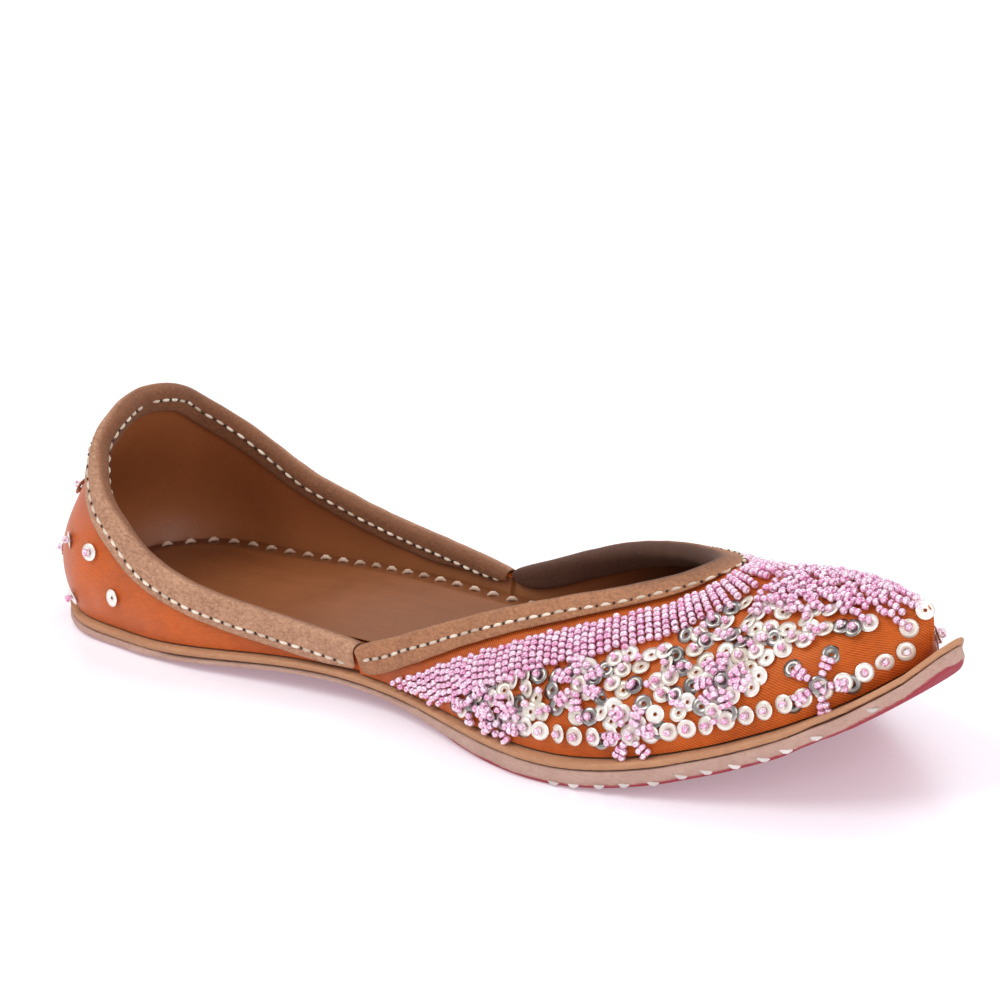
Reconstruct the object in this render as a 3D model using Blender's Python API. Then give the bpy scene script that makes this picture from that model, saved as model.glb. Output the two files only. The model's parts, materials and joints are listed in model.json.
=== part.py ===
"""A flat slip-on shoe with a pointed, turned-up toe, a low cut side and a beaded vamp.

The sole is two layers of leather. The upper is one hollow wall, open at the collar and
underneath, whose shape comes from the functions below. The bindings over its top edge and the
raised band of beads on its vamp are laid over the same functions.
+X points to the toe and +Z up. The shoe is straight: its two sides mirror each other.
"""
import bmesh
import bpy
import numpy as np
from mathutils import Vector
from mathutils.bvhtree import BVHTree

# Driving sizes of the last and the sole, in metres
LENGTH = 0.255
HEEL_WIDTH = 0.0635
WAIST_WIDTH = 0.0580
BALL_WIDTH = 0.0830
OUTSOLE_THICKNESS = 0.0040
MIDSOLE_THICKNESS = 0.0022
INSOLE_THICKNESS = 0.0020
ARCH_RISE = 0.0040
TOE_SPRING = 0.0270
TIP_LIFT = 0.0025
TIP_RUN = 0.0180
SPRING_CURVE = 1.9
TIP_CURVE = 1.6
LEDGE = 0.0025
TIP_REACH = 0.0080
# Where the upper's foot starts to draw back from the sole's tip, as a share of the length from the middle
TIP_START = 0.30

# Driving sizes of the upper, its heights measured from the top of the sole, in metres
BACK_HEIGHT = 0.0465
BACK_LEAN = 0.0160
THROAT_HEIGHT = 0.0325
THROAT_X = 0.0635
TOE_TOP_SETBACK = 0.0006
WALL = 0.0020
OVERLAP_STEP = 0.0010
OVERLAP_FADE = 0.0120

# Driving sizes of what is laid over the upper, in metres
BINDING_THICKNESS = 0.0009
BINDING_OUTSIDE = 0.0063
BINDING_INSIDE = 0.0050
BAND_START = 0.0098
BAND_WIDTH = 0.0112
BAND_HEIGHT = 0.0017
BAND_MARGIN = 0.0030
BAND_LEAST = 0.0040
# Shares of the band's height across it, from its upper edge to its lower one
BAND_CROWN = (0.45, 0.95, 1.0, 0.95, 0.45)

# Clearances, in metres: between the sole's layers and what stands on them, and over the curved wall
GAP = 0.0003
LAY_GAP = 0.00045

# Where the quarter meets the vamp and where the vamp's edge closes at the throat, as shares of
# the way round the foot from the heel to the toe
JUNCTION = 0.443
THROAT = 0.74
# How far from the junction, as such a share, each side of the step and each binding ends
JOIN = 0.0015

# Mesh density
QUARTER_COLUMNS = 30
VAMP_COLUMNS = 16
TOE_COLUMNS = 14
WALL_ROWS = 9
SOLE_STATIONS = 54
BAND_STATIONS = 46
FORM_COLUMNS = 240
FORM_ROWS = 60
WALK_PACE = 0.0007
OUTLINE_POINTS = 3200
FOOT_POINTS = 900
EDGE_POINTS = 200
INSOLE_STATIONS = 46

# How far stations crowd together: a power, and for a sole layer's ends a share
HEEL_CROWDING = 1.1
TOE_CROWDING = 0.9
THROAT_CROWDING = 1.8
END_CROWDING = 0.45

# Small steps and limits: a share to either side of a place, a length in metres, degrees
NUDGE = 1e-4
MERGE = 1e-5
SHARP_ANGLE = 40

OUTLINE = (
    # place, along the length, share of the half width, the width that it follows
    ("back", 0.000, 0.00, "heel"),
    ("back corner", 0.022, 0.56, "heel"),
    ("heel side", 0.065, 0.875, "heel"),
    ("heel seat", 0.150, 1.00, "heel"),
    ("waist", 0.450, 1.00, "waist"),
    ("ball", 0.680, 1.00, "ball"),
    ("toe shoulder", 0.845, 0.73, "ball"),
    ("toe corner", 0.935, 0.47, "ball"),
    ("tip side", 0.980, 0.20, "ball"),
    ("tip", 1.000, 0.00, "ball"),
)
FLATS = (
    # flat spot, where it starts and ends along the length
    ("heel", 0.00, 0.14),
    ("ball", 0.62, 0.67),
)
SOLE_THICKNESS = (
    # place, along the length, share of the outsole's thickness
    ("heel", 0.00, 0.60),
    ("heel breast", 0.25, 0.38),
    ("waist", 0.42, 0.30),
    ("ball", 0.62, 1.00),
    ("toe", 1.00, 0.95),
)
SOLE_EDGE = (
    # layer, share of its thickness from below, inset as a share of the ledge
    ("outsole", 0.00, 0.34),
    ("outsole", 0.30, 0.06),
    ("outsole", 0.75, 0.00),
    ("outsole", 1.00, 0.14),
    ("midsole", 0.00, 0.26),
    ("midsole", 0.35, 0.10),
    ("midsole", 0.80, 0.04),
    ("midsole", 1.00, 0.22),
)
LEDGES = (
    # place, along the length, share of the ledge
    ("back", 0.00, 0.50),
    ("heel side", 0.12, 0.60),
    ("waist", 0.45, 0.40),
    ("ball", 0.69, 1.00),
    ("toe", 1.00, 1.00),
)
QUARTER_LINE = (
    # place on the quarter's top edge, from heel to junction, share of the back's height, share of
    # its lean, share of the half width of the upper's foot below it
    ("peak", 0.00, 1.00, 1.00, 0.78),
    ("beside the peak", 0.08, 0.98, 0.95, 0.78),
    ("corner", 0.22, 0.84, 0.45, 0.78),
    ("behind the side", 0.35, 0.63, 0.15, 0.91),
    ("side", 0.50, 0.41, 0.02, 0.98),
    ("before the junction", 0.75, 0.22, 0.00, 1.01),
    ("junction", 1.00, 0.12, 0.00, 1.03),
)
VAMP_LINE = (
    # place on the vamp's edge, from junction to throat, share of the rise to the throat
    ("junction", 0.00, 0.00),
    ("side", 0.50, 0.63),
    ("throat", 1.00, 1.00),
)
VAMP_POINT = 1.34
RIDGE_LINE = (
    # place on the ridge, from throat to toe, share of the throat's height
    ("throat", 0.00, 1.00),
    ("instep", 0.50, 0.82),
    ("toe", 1.00, 0.40),
)
WALL_SHAPE = (
    # place, flare at the sole and roll at the top in degrees, fullness
    ("heel", 0.00, 30, 16, 1.25),
    ("quarter", 0.22, 16, 8, 1.10),
    ("junction", JUNCTION, 8, 5, 1.00),
    ("vamp", (JUNCTION + THROAT) / 2, 12, 45, 0.95),
    ("throat", THROAT, 12, 76, 0.84),
    ("toe", 1.00, 8, 80, 0.92),
)

COLOURS = {
    # node, colour in linear red, green and blue, roughness
    "outsole": ((0.56, 0.37, 0.29), 0.85),
    "midsole": ((0.36, 0.20, 0.13), 0.70),
    "insole": ((0.30, 0.13, 0.06), 0.45),
    "upper": ((0.47, 0.13, 0.025), 0.50),
    "quarter_binding": ((0.36, 0.20, 0.14), 0.80),
    "vamp_binding": ((0.36, 0.20, 0.14), 0.80),
    "bead_band": ((0.80, 0.33, 0.55), 0.25),
}


def column(table, index):
    return np.array([row[index] for row in table], float)


def smooth_through(places, values, at):
    """The smooth curve through a table's rows, which never passes beyond them."""
    places = np.asarray(places, float)
    values = np.asarray(values, float)
    gaps = np.diff(places)
    rates = np.diff(values) / gaps
    slopes = np.zeros(len(places))
    slopes[0] = rates[0]
    slopes[-1] = rates[-1]
    for i in range(1, len(places) - 1):
        if rates[i - 1] * rates[i] > 0:
            before = 2 * gaps[i] + gaps[i - 1]
            after = gaps[i] + 2 * gaps[i - 1]
            slopes[i] = (before + after) / (before / rates[i - 1] + after / rates[i])
    i = np.clip(np.searchsorted(places, at, side="right") - 1, 0, len(gaps) - 1)
    s = (np.asarray(at) - places[i]) / gaps[i]
    return hermite(values[i], values[i + 1], slopes[i] * gaps[i], slopes[i + 1] * gaps[i], s)


def hermite(start, end, leaving, arriving, s):
    """The cubic from start to end with these tangents, at the share s of the way."""
    return (
        (1 + 2 * s) * (1 - s) ** 2 * start
        + s * (1 - s) ** 2 * leaving
        + s * s * (3 - 2 * s) * end
        + s * s * (s - 1) * arriving
    )


def closed_curve(points, count):
    """Points evenly along a smooth closed curve through the given ones."""
    following = np.roll(points, -1, 0)
    spans = np.linalg.norm(following - points, axis=1)
    ahead = (following - points) / spans[:, None]
    behind = np.roll(ahead, 1, 0)
    before = np.roll(spans, 1)
    tangents = (behind * spans[:, None] + ahead * before[:, None]) / (spans + before)[:, None]
    starts = np.concatenate([[0], np.cumsum(spans)])
    at = np.linspace(0, starts[-1], count, endpoint=False)
    i = np.clip(np.searchsorted(starts, at, side="right") - 1, 0, len(points) - 1)
    j = (i + 1) % len(points)
    s = ((at - starts[i]) / spans[i])[:, None]
    span = spans[i][:, None]
    return hermite(points[i], points[j], tangents[i] * span, tangents[j] * span, s)


def share_along(points):
    """How far along a line each of its points lies, from 0 to 1."""
    steps = np.linalg.norm(np.diff(points, axis=0), axis=1)
    run = np.concatenate([[0], np.cumsum(steps)])
    return run / run[-1]


def at_share(points, shares):
    run = share_along(points)
    return np.stack([np.interp(shares, run, points[:, k]) for k in range(points.shape[1])], -1)


def half_outline():
    """One side of the sole's outline, from the back to the tip, with y from 0 out and back to 0."""
    half_widths = {"heel": HEEL_WIDTH / 2, "waist": WAIST_WIDTH / 2, "ball": BALL_WIDTH / 2}
    side = np.array([((along - 0.5) * LENGTH, half * half_widths[follows])
                     for _, along, half, follows in OUTLINE])
    other_side = side[-2:0:-1] * (1, -1)
    loop = closed_curve(np.concatenate([side, other_side]), OUTLINE_POINTS)
    half = loop[:np.argmax(loop[:, 0]) + 1]
    half[0, 1] = 0
    half[-1, 1] = 0
    return half


def inward(points):
    """The direction into the foot from each point of a line that runs from heel to toe."""
    ahead = np.gradient(points, axis=0)
    ahead /= np.linalg.norm(ahead, axis=1)[:, None]
    turned = np.stack([ahead[:, 1], -ahead[:, 0]], 1)
    turned[0] = (1, 0)
    turned[-1] = (-1, 0)
    return turned


def inset(points, depths):
    """A half outline moved into the foot, cut off where its two sides would cross."""
    moved = points + inward(points) * np.asarray(depths)[..., None]
    inside = np.flatnonzero(moved[:, 1] > 0)
    kept = moved[inside[0]:inside[-1] + 1]
    start = moved[0] * (1, 0)
    end = (kept[-1, 0], 0)
    return np.concatenate([[start], kept, [end]])


def bed(x):
    """How high the sole's underside is: arched between its flat spots, with spring at the toe."""
    flat = {name: ((start - 0.5) * LENGTH, (end - 0.5) * LENGTH) for name, start, end in FLATS}
    arch = np.clip((x - flat["heel"][1]) / (flat["ball"][0] - flat["heel"][1]), 0, 1)
    spring = np.clip((x - flat["ball"][1]) / (LENGTH / 2 - flat["ball"][1]), 0, 1)
    tip = np.clip((x - LENGTH / 2 + TIP_RUN) / TIP_RUN, 0, 1)
    return (ARCH_RISE * np.sin(np.pi * arch) ** 2
            + TOE_SPRING * spring ** SPRING_CURVE
            + TIP_LIFT * tip ** TIP_CURVE)


def outsole_top(x):
    places = (column(SOLE_THICKNESS, 1) - 0.5) * LENGTH
    return bed(x) + OUTSOLE_THICKNESS * smooth_through(places, column(SOLE_THICKNESS, 2), x)


def deck(x):
    """The top of the sole, which the upper stands on."""
    return outsole_top(x) + GAP + MIDSOLE_THICKNESS


def ledge_at(points):
    places = (column(LEDGES, 1) - 0.5) * LENGTH
    return LEDGE * smooth_through(places, column(LEDGES, 2), points[:, 0])


def feather_line():
    """Where the upper's outer face meets the sole: one side, seen from above."""
    outline = half_outline()
    line = inset(outline, ledge_at(outline))
    start = TIP_START * LENGTH
    toward_tip = np.clip((line[:, 0] - start) / (LENGTH / 2 - start), 0, 1)
    line[:, 0] -= (line[-1, 0] - LENGTH / 2 + TIP_REACH) * toward_tip ** 2
    return line


def length_of(points):
    return np.linalg.norm(np.diff(points, axis=0), axis=1).sum()


def quarter_step(where):
    """How far the quarter's wall is set in to pass under the vamp, at each share of the way round."""
    round_the_foot = length_of(feather_line())
    behind = (JUNCTION - where) * round_the_foot
    return np.where(behind >= 0, OVERLAP_STEP * np.clip(1 - behind / OVERLAP_FADE, 0, 1), 0)


def top_line(where, feather):
    """The upper's top edge and, past the throat, its ridge, at each share of the way round."""
    top = np.zeros((len(where), 3))
    on_quarter = where <= JUNCTION
    on_vamp = (where > JUNCTION) & (where <= THROAT)
    on_ridge = where > THROAT
    along = column(QUARTER_LINE, 1)

    def quarter_edge(way):
        foot = at_share(feather, way * JUNCTION)
        forward = BACK_LEAN * smooth_through(along, column(QUARTER_LINE, 3), way)
        width = smooth_through(along, column(QUARTER_LINE, 4), way)
        return np.stack([foot[:, 0] + forward, foot[:, 1] * width], 1)

    way = where[on_quarter] / JUNCTION
    quarter = quarter_edge(way)
    top[on_quarter, :2] = quarter
    rise = smooth_through(along, column(QUARTER_LINE, 2), way)
    top[on_quarter, 2] = deck(quarter[:, 0]) + BACK_HEIGHT * rise

    corner = quarter_edge(np.ones(1))[0]
    turn = np.linspace(0, np.pi / 2, EDGE_POINTS)
    edge = np.stack([corner[0] + (THROAT_X - corner[0]) * np.sin(turn),
                     corner[1] * np.cos(turn) ** VAMP_POINT], 1)
    way = (where[on_vamp] - JUNCTION) / (THROAT - JUNCTION)
    vamp = at_share(edge, way)
    top[on_vamp, :2] = vamp
    low = deck(corner[0]) + BACK_HEIGHT * QUARTER_LINE[-1][2]
    high = deck(THROAT_X) + THROAT_HEIGHT
    top[on_vamp, 2] = low + (high - low) * smooth_through(column(VAMP_LINE, 1), column(VAMP_LINE, 2), way)

    way = (where[on_ridge] - THROAT) / (1 - THROAT)
    toe_top_x = feather[-1, 0] - TOE_TOP_SETBACK
    ridge_x = THROAT_X + (toe_top_x - THROAT_X) * way ** TOE_CROWDING
    top[on_ridge, 0] = ridge_x
    top[on_ridge, 2] = deck(ridge_x) + THROAT_HEIGHT * smooth_through(
        column(RIDGE_LINE, 1), column(RIDGE_LINE, 2), way)
    return top


def wall_curves(where):
    """The upper's upright curves: their foot, top and the tangents that they leave and arrive with."""
    feather = feather_line()
    run = share_along(feather)
    foot = at_share(feather, where)
    top = top_line(where, at_share(feather, np.linspace(0, 1, FOOT_POINTS)))
    foot = np.concatenate([foot, (deck(foot[:, 0]) + GAP)[:, None]], 1)
    facing = inward(feather)
    facing = np.stack([np.interp(where, run, facing[:, k]) for k in range(2)], -1)
    facing /= np.linalg.norm(facing, axis=1)[:, None]
    places = column(WALL_SHAPE, 1)
    flare = np.radians(smooth_through(places, column(WALL_SHAPE, 2), where))
    roll = np.radians(smooth_through(places, column(WALL_SHAPE, 3), where))
    fullness = smooth_through(places, column(WALL_SHAPE, 4), where)
    reach = (np.linalg.norm(top - foot, axis=1) * fullness)[:, None]
    leaving = np.concatenate([-facing * np.sin(flare)[:, None], np.cos(flare)[:, None]], 1)
    # Over the vamp the wall turns from facing into the foot to facing straight across it, and
    # at the toe it turns to face the heel
    over = np.clip((where - JUNCTION) / (THROAT - JUNCTION), 0, 1)[:, None]
    at_toe = np.clip((where - THROAT) / (1 - THROAT), 0, 1)[:, None] ** 3
    turned = facing * (1 - over) + np.array([0, -1.0]) * over
    turned = turned * (1 - at_toe) + np.array([-1.0, 0]) * at_toe
    turned /= np.linalg.norm(turned, axis=1)[:, None]
    arriving = np.concatenate([turned * np.sin(roll)[:, None], np.cos(roll)[:, None]], 1)
    return foot, top, leaving * reach, arriving * reach


def wall_points(where, rises):
    """Points of the upper's outer form: where holds one share for each column, rises a row of shares
    from the sole to the top for each column."""
    foot, top, leaving, arriving = [part[:, None] for part in wall_curves(where)]
    return hermite(foot, top, leaving, arriving, np.asarray(rises)[..., None])


def wall_grid(where, rises, depths):
    """The same points moved into the wall by a depth for each column."""
    points = wall_points(where, rises)
    ahead = wall_points(np.minimum(where + NUDGE, 1), rises)
    behind = wall_points(np.maximum(where - NUDGE, 0), rises)
    higher = wall_points(where, np.minimum(rises + NUDGE, 1))
    lower = wall_points(where, np.maximum(rises - NUDGE, 0))
    climb = higher - lower
    outward = np.cross(climb, ahead - behind)
    # The heel's and the toe's curves lie in the middle plane
    outward[where == 0] = climb[where == 0][..., ::-1] * (-1, 0, 1)
    outward[where == 1] = climb[where == 1][..., ::-1] * (1, 0, -1)
    on_ridge = (where[:, None] >= THROAT) & (rises >= 1)
    outward[on_ridge, 1] = 0
    outward /= np.linalg.norm(outward, axis=2)[..., None]
    moved = points - outward * np.asarray(depths)[:, None, None]
    moved[(where == 0) | (where == 1), :, 1] = 0
    moved[on_ridge, 1] = 0
    return moved


def upper_columns():
    """Shares of the way round at which the upper has an edge, close together where it curves most."""
    quarter = JUNCTION * np.linspace(0, 1, QUARTER_COLUMNS) ** HEEL_CROWDING
    vamp = np.linspace(JUNCTION + JOIN, THROAT, VAMP_COLUMNS)
    toe = THROAT + (1 - THROAT) * np.linspace(0, 1, TOE_COLUMNS + 1)[1:] ** TOE_CROWDING
    return np.concatenate([quarter, vamp, toe])


def material(name):
    colour, roughness = COLOURS[name]
    made = bpy.data.materials.new(name)
    made.use_nodes = True
    shader = made.node_tree.nodes["Principled BSDF"]
    shader.inputs["Base Color"].default_value = (*colour, 1)
    shader.inputs["Roughness"].default_value = roughness
    shader.inputs["Metallic"].default_value = 0
    made.diffuse_color = (*colour, 1)
    return made


def piece(name, shape):
    """An object made from a finished bmesh."""
    bmesh.ops.recalc_face_normals(shape, faces=shape.faces)
    mesh = bpy.data.meshes.new(name)
    shape.to_mesh(mesh)
    shape.free()
    mesh.shade_smooth()
    mesh.set_sharp_from_angle(angle=np.radians(SHARP_ANGLE))
    mesh.materials.append(material(name))
    made = bpy.data.objects.new(name, mesh)
    bpy.context.scene.collection.objects.link(made)
    return made


def sheet_faces(shape, rows):
    """Joins neighbouring rows of vertices with faces. Rows hold as many vertices as each other."""
    for first, second in zip(rows, rows[1:]):
        for a, b, c, d in zip(first, first[1:], second[1:], second):
            shape.faces.new((a, b, c, d))


def mirrored(made):
    """Adds the other side of a half that is open where it meets the middle plane."""
    mirror = made.modifiers.new("Other side", "MIRROR")
    mirror.use_axis = (False, True, False)
    mirror.use_mirror_merge = True
    mirror.merge_threshold = MERGE
    return made


def flat_ring(inset_depth, height, stations):
    """One level of a sole layer: points from back to tip on the side with y above 0."""
    outline = half_outline()
    line = inset(outline, np.full(len(outline), inset_depth)) if inset_depth > 0 else outline
    spread = (1 - np.cos(np.linspace(0, np.pi, stations))) / 2
    shares = END_CROWDING * spread + (1 - END_CROWDING) * np.linspace(0, 1, stations)
    points = at_share(line, shares)
    points[0, 1] = 0
    points[-1, 1] = 0
    return np.concatenate([points, height(points[:, 0])[:, None]], 1)


def layered(name, levels):
    """A closed layer from levels of points, each from back to tip, bottom level first."""
    shape = bmesh.new()
    near = []
    far = []
    for level in levels:
        side = [shape.verts.new(point) for point in level]
        other = [side[0]] + [shape.verts.new(point * (1, -1, 1)) for point in level[1:-1]] + [side[-1]]
        near.append(side)
        far.append(other)
    sheet_faces(shape, near)
    sheet_faces(shape, [row[::-1] for row in far])
    for side, other in ((near[0], far[0]), (near[-1], far[-1])):
        shape.faces.new((side[0], side[1], other[1]))
        for a, b, c, d in zip(side[1:-1], side[2:-1], other[2:-1], other[1:-1]):
            shape.faces.new((a, b, c, d))
        shape.faces.new((side[-2], side[-1], other[-2]))
    return piece(name, shape)


def make_sole_layer(name, bottom, top):
    """A layer of the sole whose edge is rounded by the rows of its table."""
    levels = []
    for layer, rise, edge in SOLE_EDGE:
        if layer != name:
            continue

        def height(x, rise=rise):
            return bottom(x) + (top(x) - bottom(x)) * rise

        levels.append(flat_ring(edge * LEDGE, height, SOLE_STATIONS))
    return layered(name, levels)


def make_insole():
    """The leather that lines the sole, inside the upper's wall."""
    feather = feather_line()
    line = inset(feather, np.full(len(feather), WALL + GAP + OVERLAP_STEP))
    wide_enough = line[:, 1] > INSOLE_THICKNESS
    last = np.flatnonzero(wide_enough)[-1]
    line = np.concatenate([line[:last], [(line[last, 0], 0)]])
    points = at_share(line, np.linspace(0, 1, INSOLE_STATIONS))
    levels = []
    for rise in (0, 1):
        height = deck(points[:, 0]) + GAP + INSOLE_THICKNESS * rise
        levels.append(np.concatenate([points, height[:, None]], 1))
    return layered("insole", levels)


def inner_rises(where, depths):
    """Rows for the inside of the wall, which ends where its two sides would cross under the ridge."""
    rises = np.linspace(0, 1, FORM_ROWS)
    sides = wall_grid(where, np.tile(rises, (len(where), 1)), depths)[..., 1]
    crossed = (sides <= 0) & (rises > 0)
    ends = np.where(crossed.any(axis=1), rises[crossed.argmax(axis=1)], 1.0)
    ends[where == 0] = 1
    ends[-1] = ends[-2]
    return ends[:, None] * np.linspace(0, 1, WALL_ROWS)


def make_upper():
    """The hollow upper: quarters and vamp in one wall, with a step where the vamp laps the quarters."""
    where = upper_columns()
    rises = np.tile(np.linspace(0, 1, WALL_ROWS), (len(where), 1))
    step = quarter_step(where)
    outside = wall_grid(where, rises, step)
    inside = wall_grid(where, inner_rises(where, step + WALL), step + WALL)
    inside[where >= THROAT, -1, 1] = 0
    # The wall ends level on the sole
    inside[:, 0, 2] = deck(inside[:, 0, 0]) + GAP
    shape = bmesh.new()
    outer = [[shape.verts.new(point) for point in row] for row in outside]
    inner = [[shape.verts.new(point) for point in row] for row in inside]
    sheet_faces(shape, outer)
    sheet_faces(shape, [row[::-1] for row in inner])
    sheet_faces(shape, [[a[0], b[0]] for a, b in zip(inner, outer)])
    open_columns = np.flatnonzero(where <= THROAT + NUDGE)
    sheet_faces(shape, [[outer[i][-1], inner[i][-1]] for i in open_columns])
    return mirrored(piece("upper", shape))


def form_tree():
    """The upper's outer form, both sides, as a fine mesh that can be searched."""
    where = np.linspace(0, 1, FORM_COLUMNS)
    side = wall_points(where, np.tile(np.linspace(0, 1, FORM_ROWS), (FORM_COLUMNS, 1)))
    points = np.concatenate([side.reshape(-1, 3), (side * (1, -1, 1)).reshape(-1, 3)])
    other = FORM_COLUMNS * FORM_ROWS
    faces = []
    for i in range(FORM_COLUMNS - 1):
        for j in range(FORM_ROWS - 1):
            a = i * FORM_ROWS + j
            b = a + FORM_ROWS
            faces.append((a, a + 1, b + 1, b))
            faces.append((other + b, other + b + 1, other + a + 1, other + a))
    return BVHTree.FromPolygons(points.tolist(), faces)


def walk_down(tree, start, ahead, distances):
    """Points over the form at distances from a start on the top edge, going square to the edge."""
    place, normal, _, _ = tree.find_nearest(Vector(start))
    heading = normal.cross(Vector(ahead)).normalized()
    place = Vector(start)
    walked = 0.0
    found = []
    for distance in distances:
        while distance - walked > MERGE:
            pace = min(WALK_PACE, distance - walked)
            place, normal, _, _ = tree.find_nearest(place + heading * pace)
            heading = (heading - normal * heading.dot(normal)).normalized()
            walked += pace
        found.append(tuple(place))
    return found


def edge_sheet(tree, where, distances):
    """A sheet of points over the form, one row for each place on its top edge, with the surface's
    outward normals and the direction down from the edge."""
    edge = wall_points(where, np.ones((len(where), 1)))[:, 0]
    forward = wall_points(np.minimum(where + NUDGE, THROAT), np.ones((len(where), 1)))[:, 0]
    backward = wall_points(np.maximum(where - NUDGE, 0), np.ones((len(where), 1)))[:, 0]
    ahead = forward - backward
    # Near the junction the quarter's binding turns to hang straight down, up to the vamp
    before_junction = where <= JUNCTION
    near = quarter_step(where) / OVERLAP_STEP
    ahead[before_junction, 2] *= 1 - near[before_junction]
    # The edge runs straight across the middle plane at the heel and at the throat
    ahead[where == 0] = (0, 1, 0)
    ahead[where == THROAT] = (0, -1, 0)
    ahead /= np.linalg.norm(ahead, axis=1)[:, None]
    points = np.array([walk_down(tree, *station) for station in zip(edge, ahead, distances)])
    middle = (where == 0) | (where == THROAT)
    points[middle, :, 1] = 0
    down = np.gradient(points, axis=1)
    along = np.gradient(points, axis=0)
    along[middle] = ahead[middle][:, None] * np.linalg.norm(along[middle], axis=2)[..., None]
    outward = np.cross(along, down)
    outward[middle, :, 1] = 0
    outward /= np.linalg.norm(outward, axis=2)[..., None]
    return points, outward, down[:, 0] / np.linalg.norm(down[:, 0], axis=1)[:, None]


def room_below(tree, where, most, margin):
    """How far down the form each place on the top edge may be walked before it nears the sole."""
    distances = np.tile(np.arange(0, most, WALK_PACE), (len(where), 1))
    points, _, _ = edge_sheet(tree, where, distances)
    clear = points[..., 2] > deck(points[..., 0]) + GAP + margin
    # The first place that is too low ends the run
    runs = np.cumprod(clear, axis=1).sum(axis=1)
    return np.minimum(runs * WALK_PACE, most)


def ends_closed(shape, rings):
    """Closes a folded strip's cut end, between the outside and the inside of its section."""
    half = len(rings) // 2
    sheet_faces(shape, [[rings[i], rings[-1 - i]] for i in range(half)])


def make_binding(name, tree, where, cut_end):
    """A leather strip folded over the upper's top edge, closed at its cut end."""
    step = quarter_step(where)[:, None]
    far = LAY_GAP + BINDING_THICKNESS
    outside = room_below(tree, where, BINDING_OUTSIDE, BINDING_THICKNESS)
    inside = room_below(tree, where, BINDING_INSIDE, 2 * INSOLE_THICKNESS)
    shares = np.array([0, 0.5, 1])
    over, out_over, down = edge_sheet(tree, where, outside[:, None] * shares)
    under, out_under, _ = edge_sheet(tree, where, inside[:, None] * shares)

    def beside(sheet, outward, row, depth, lift=0.0):
        return sheet[:, row] - outward[:, row] * (step + depth) - down * lift

    section = (
        beside(over, out_over, 2, -far),
        beside(over, out_over, 1, -far),
        beside(over, out_over, 0, -far, lift=-LAY_GAP),
        beside(over, out_over, 0, -LAY_GAP, lift=far),
        beside(over, out_over, 0, WALL + LAY_GAP, lift=far),
        beside(over, out_over, 0, WALL + far, lift=-LAY_GAP),
        beside(under, out_under, 1, WALL + far),
        beside(under, out_under, 2, WALL + far),
        beside(under, out_under, 2, WALL + LAY_GAP),
        beside(under, out_under, 1, WALL + LAY_GAP),
        beside(over, out_over, 0, WALL + LAY_GAP, lift=-LAY_GAP),
        beside(over, out_over, 0, WALL + LAY_GAP, lift=LAY_GAP),
        beside(over, out_over, 0, -LAY_GAP, lift=LAY_GAP),
        beside(over, out_over, 0, -LAY_GAP, lift=-LAY_GAP),
        beside(over, out_over, 1, -LAY_GAP),
        beside(over, out_over, 2, -LAY_GAP),
    )
    shape = bmesh.new()
    rings = [[shape.verts.new(points[i]) for points in section] for i in range(len(where))]
    sheet_faces(shape, [ring + ring[:1] for ring in rings])
    ends_closed(shape, rings[cut_end])
    return mirrored(piece(name, shape))


def make_bead_band(tree):
    """The raised band of beads that follows the vamp's edge, narrower where the side is low."""
    # Its stations are close together at the throat, where the band turns round the edge
    left = (1 - np.linspace(0, 1, BAND_STATIONS)) ** THROAT_CROWDING
    where = THROAT - (THROAT - JUNCTION) * left
    reach = room_below(tree, where, BAND_START + BAND_WIDTH, BAND_MARGIN)
    wide = reach > BAND_START + BAND_LEAST
    first = int(np.argmax(wide))
    where = where[first:]
    reach = reach[first:]
    rows = np.linspace(0, 1, len(BAND_CROWN))
    distances = BAND_START + (reach - BAND_START)[:, None] * rows
    points, outward, _ = edge_sheet(tree, where, distances)
    shape = bmesh.new()
    lower = [[shape.verts.new(point) for point in row] for row in points + outward * LAY_GAP]
    heights = LAY_GAP + BAND_HEIGHT * np.array(BAND_CROWN)[:, None]
    upper = [[shape.verts.new(point) for point in row] for row in points + outward * heights]
    sheet_faces(shape, upper)
    sheet_faces(shape, [row[::-1] for row in lower])
    sheet_faces(shape, [[a[0], b[0]] for a, b in zip(lower, upper)])
    sheet_faces(shape, [[a[-1], b[-1]] for a, b in zip(upper, lower)])
    sheet_faces(shape, [lower[0], upper[0]])
    return mirrored(piece("bead_band", shape))


def stand_on_origin(pieces):
    """Moves the whole shoe so that its box is centred on the origin, with its underside at zero."""
    corners = [corner for made in pieces for corner in made.bound_box]
    middle = (min(c[0] for c in corners) + max(c[0] for c in corners)) / 2
    for made in pieces:
        made.location.x = -middle


def main():
    for leftover in list(bpy.data.objects):
        bpy.data.objects.remove(leftover)
    tree = form_tree()
    columns = upper_columns()
    quarter = np.append(columns[columns < JUNCTION - JOIN], JUNCTION - JOIN)
    vamp = columns[(columns > JUNCTION) & (columns <= THROAT)]
    pieces = [
        make_sole_layer("outsole", bed, outsole_top),
        make_sole_layer("midsole", lambda x: outsole_top(x) + GAP, deck),
        make_insole(),
        make_upper(),
        make_binding("quarter_binding", tree, quarter, cut_end=-1),
        make_binding("vamp_binding", tree, vamp, cut_end=0),
        make_bead_band(tree),
    ]
    bpy.context.view_layer.update()
    stand_on_origin(pieces)


main()
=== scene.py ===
"""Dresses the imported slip-on shoe: orange satin over a leather lining, suede bindings with their
stitches, a two-layer leather sole with a red underside, and beads and sequins sewn over the vamp.

+X points to the toe and +Z up, in metres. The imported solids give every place.
"""
import json
import math
import random

import bmesh
import bpy
import numpy as np
from mathutils import Matrix, Vector, noise
from mathutils.bvhtree import BVHTree

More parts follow.
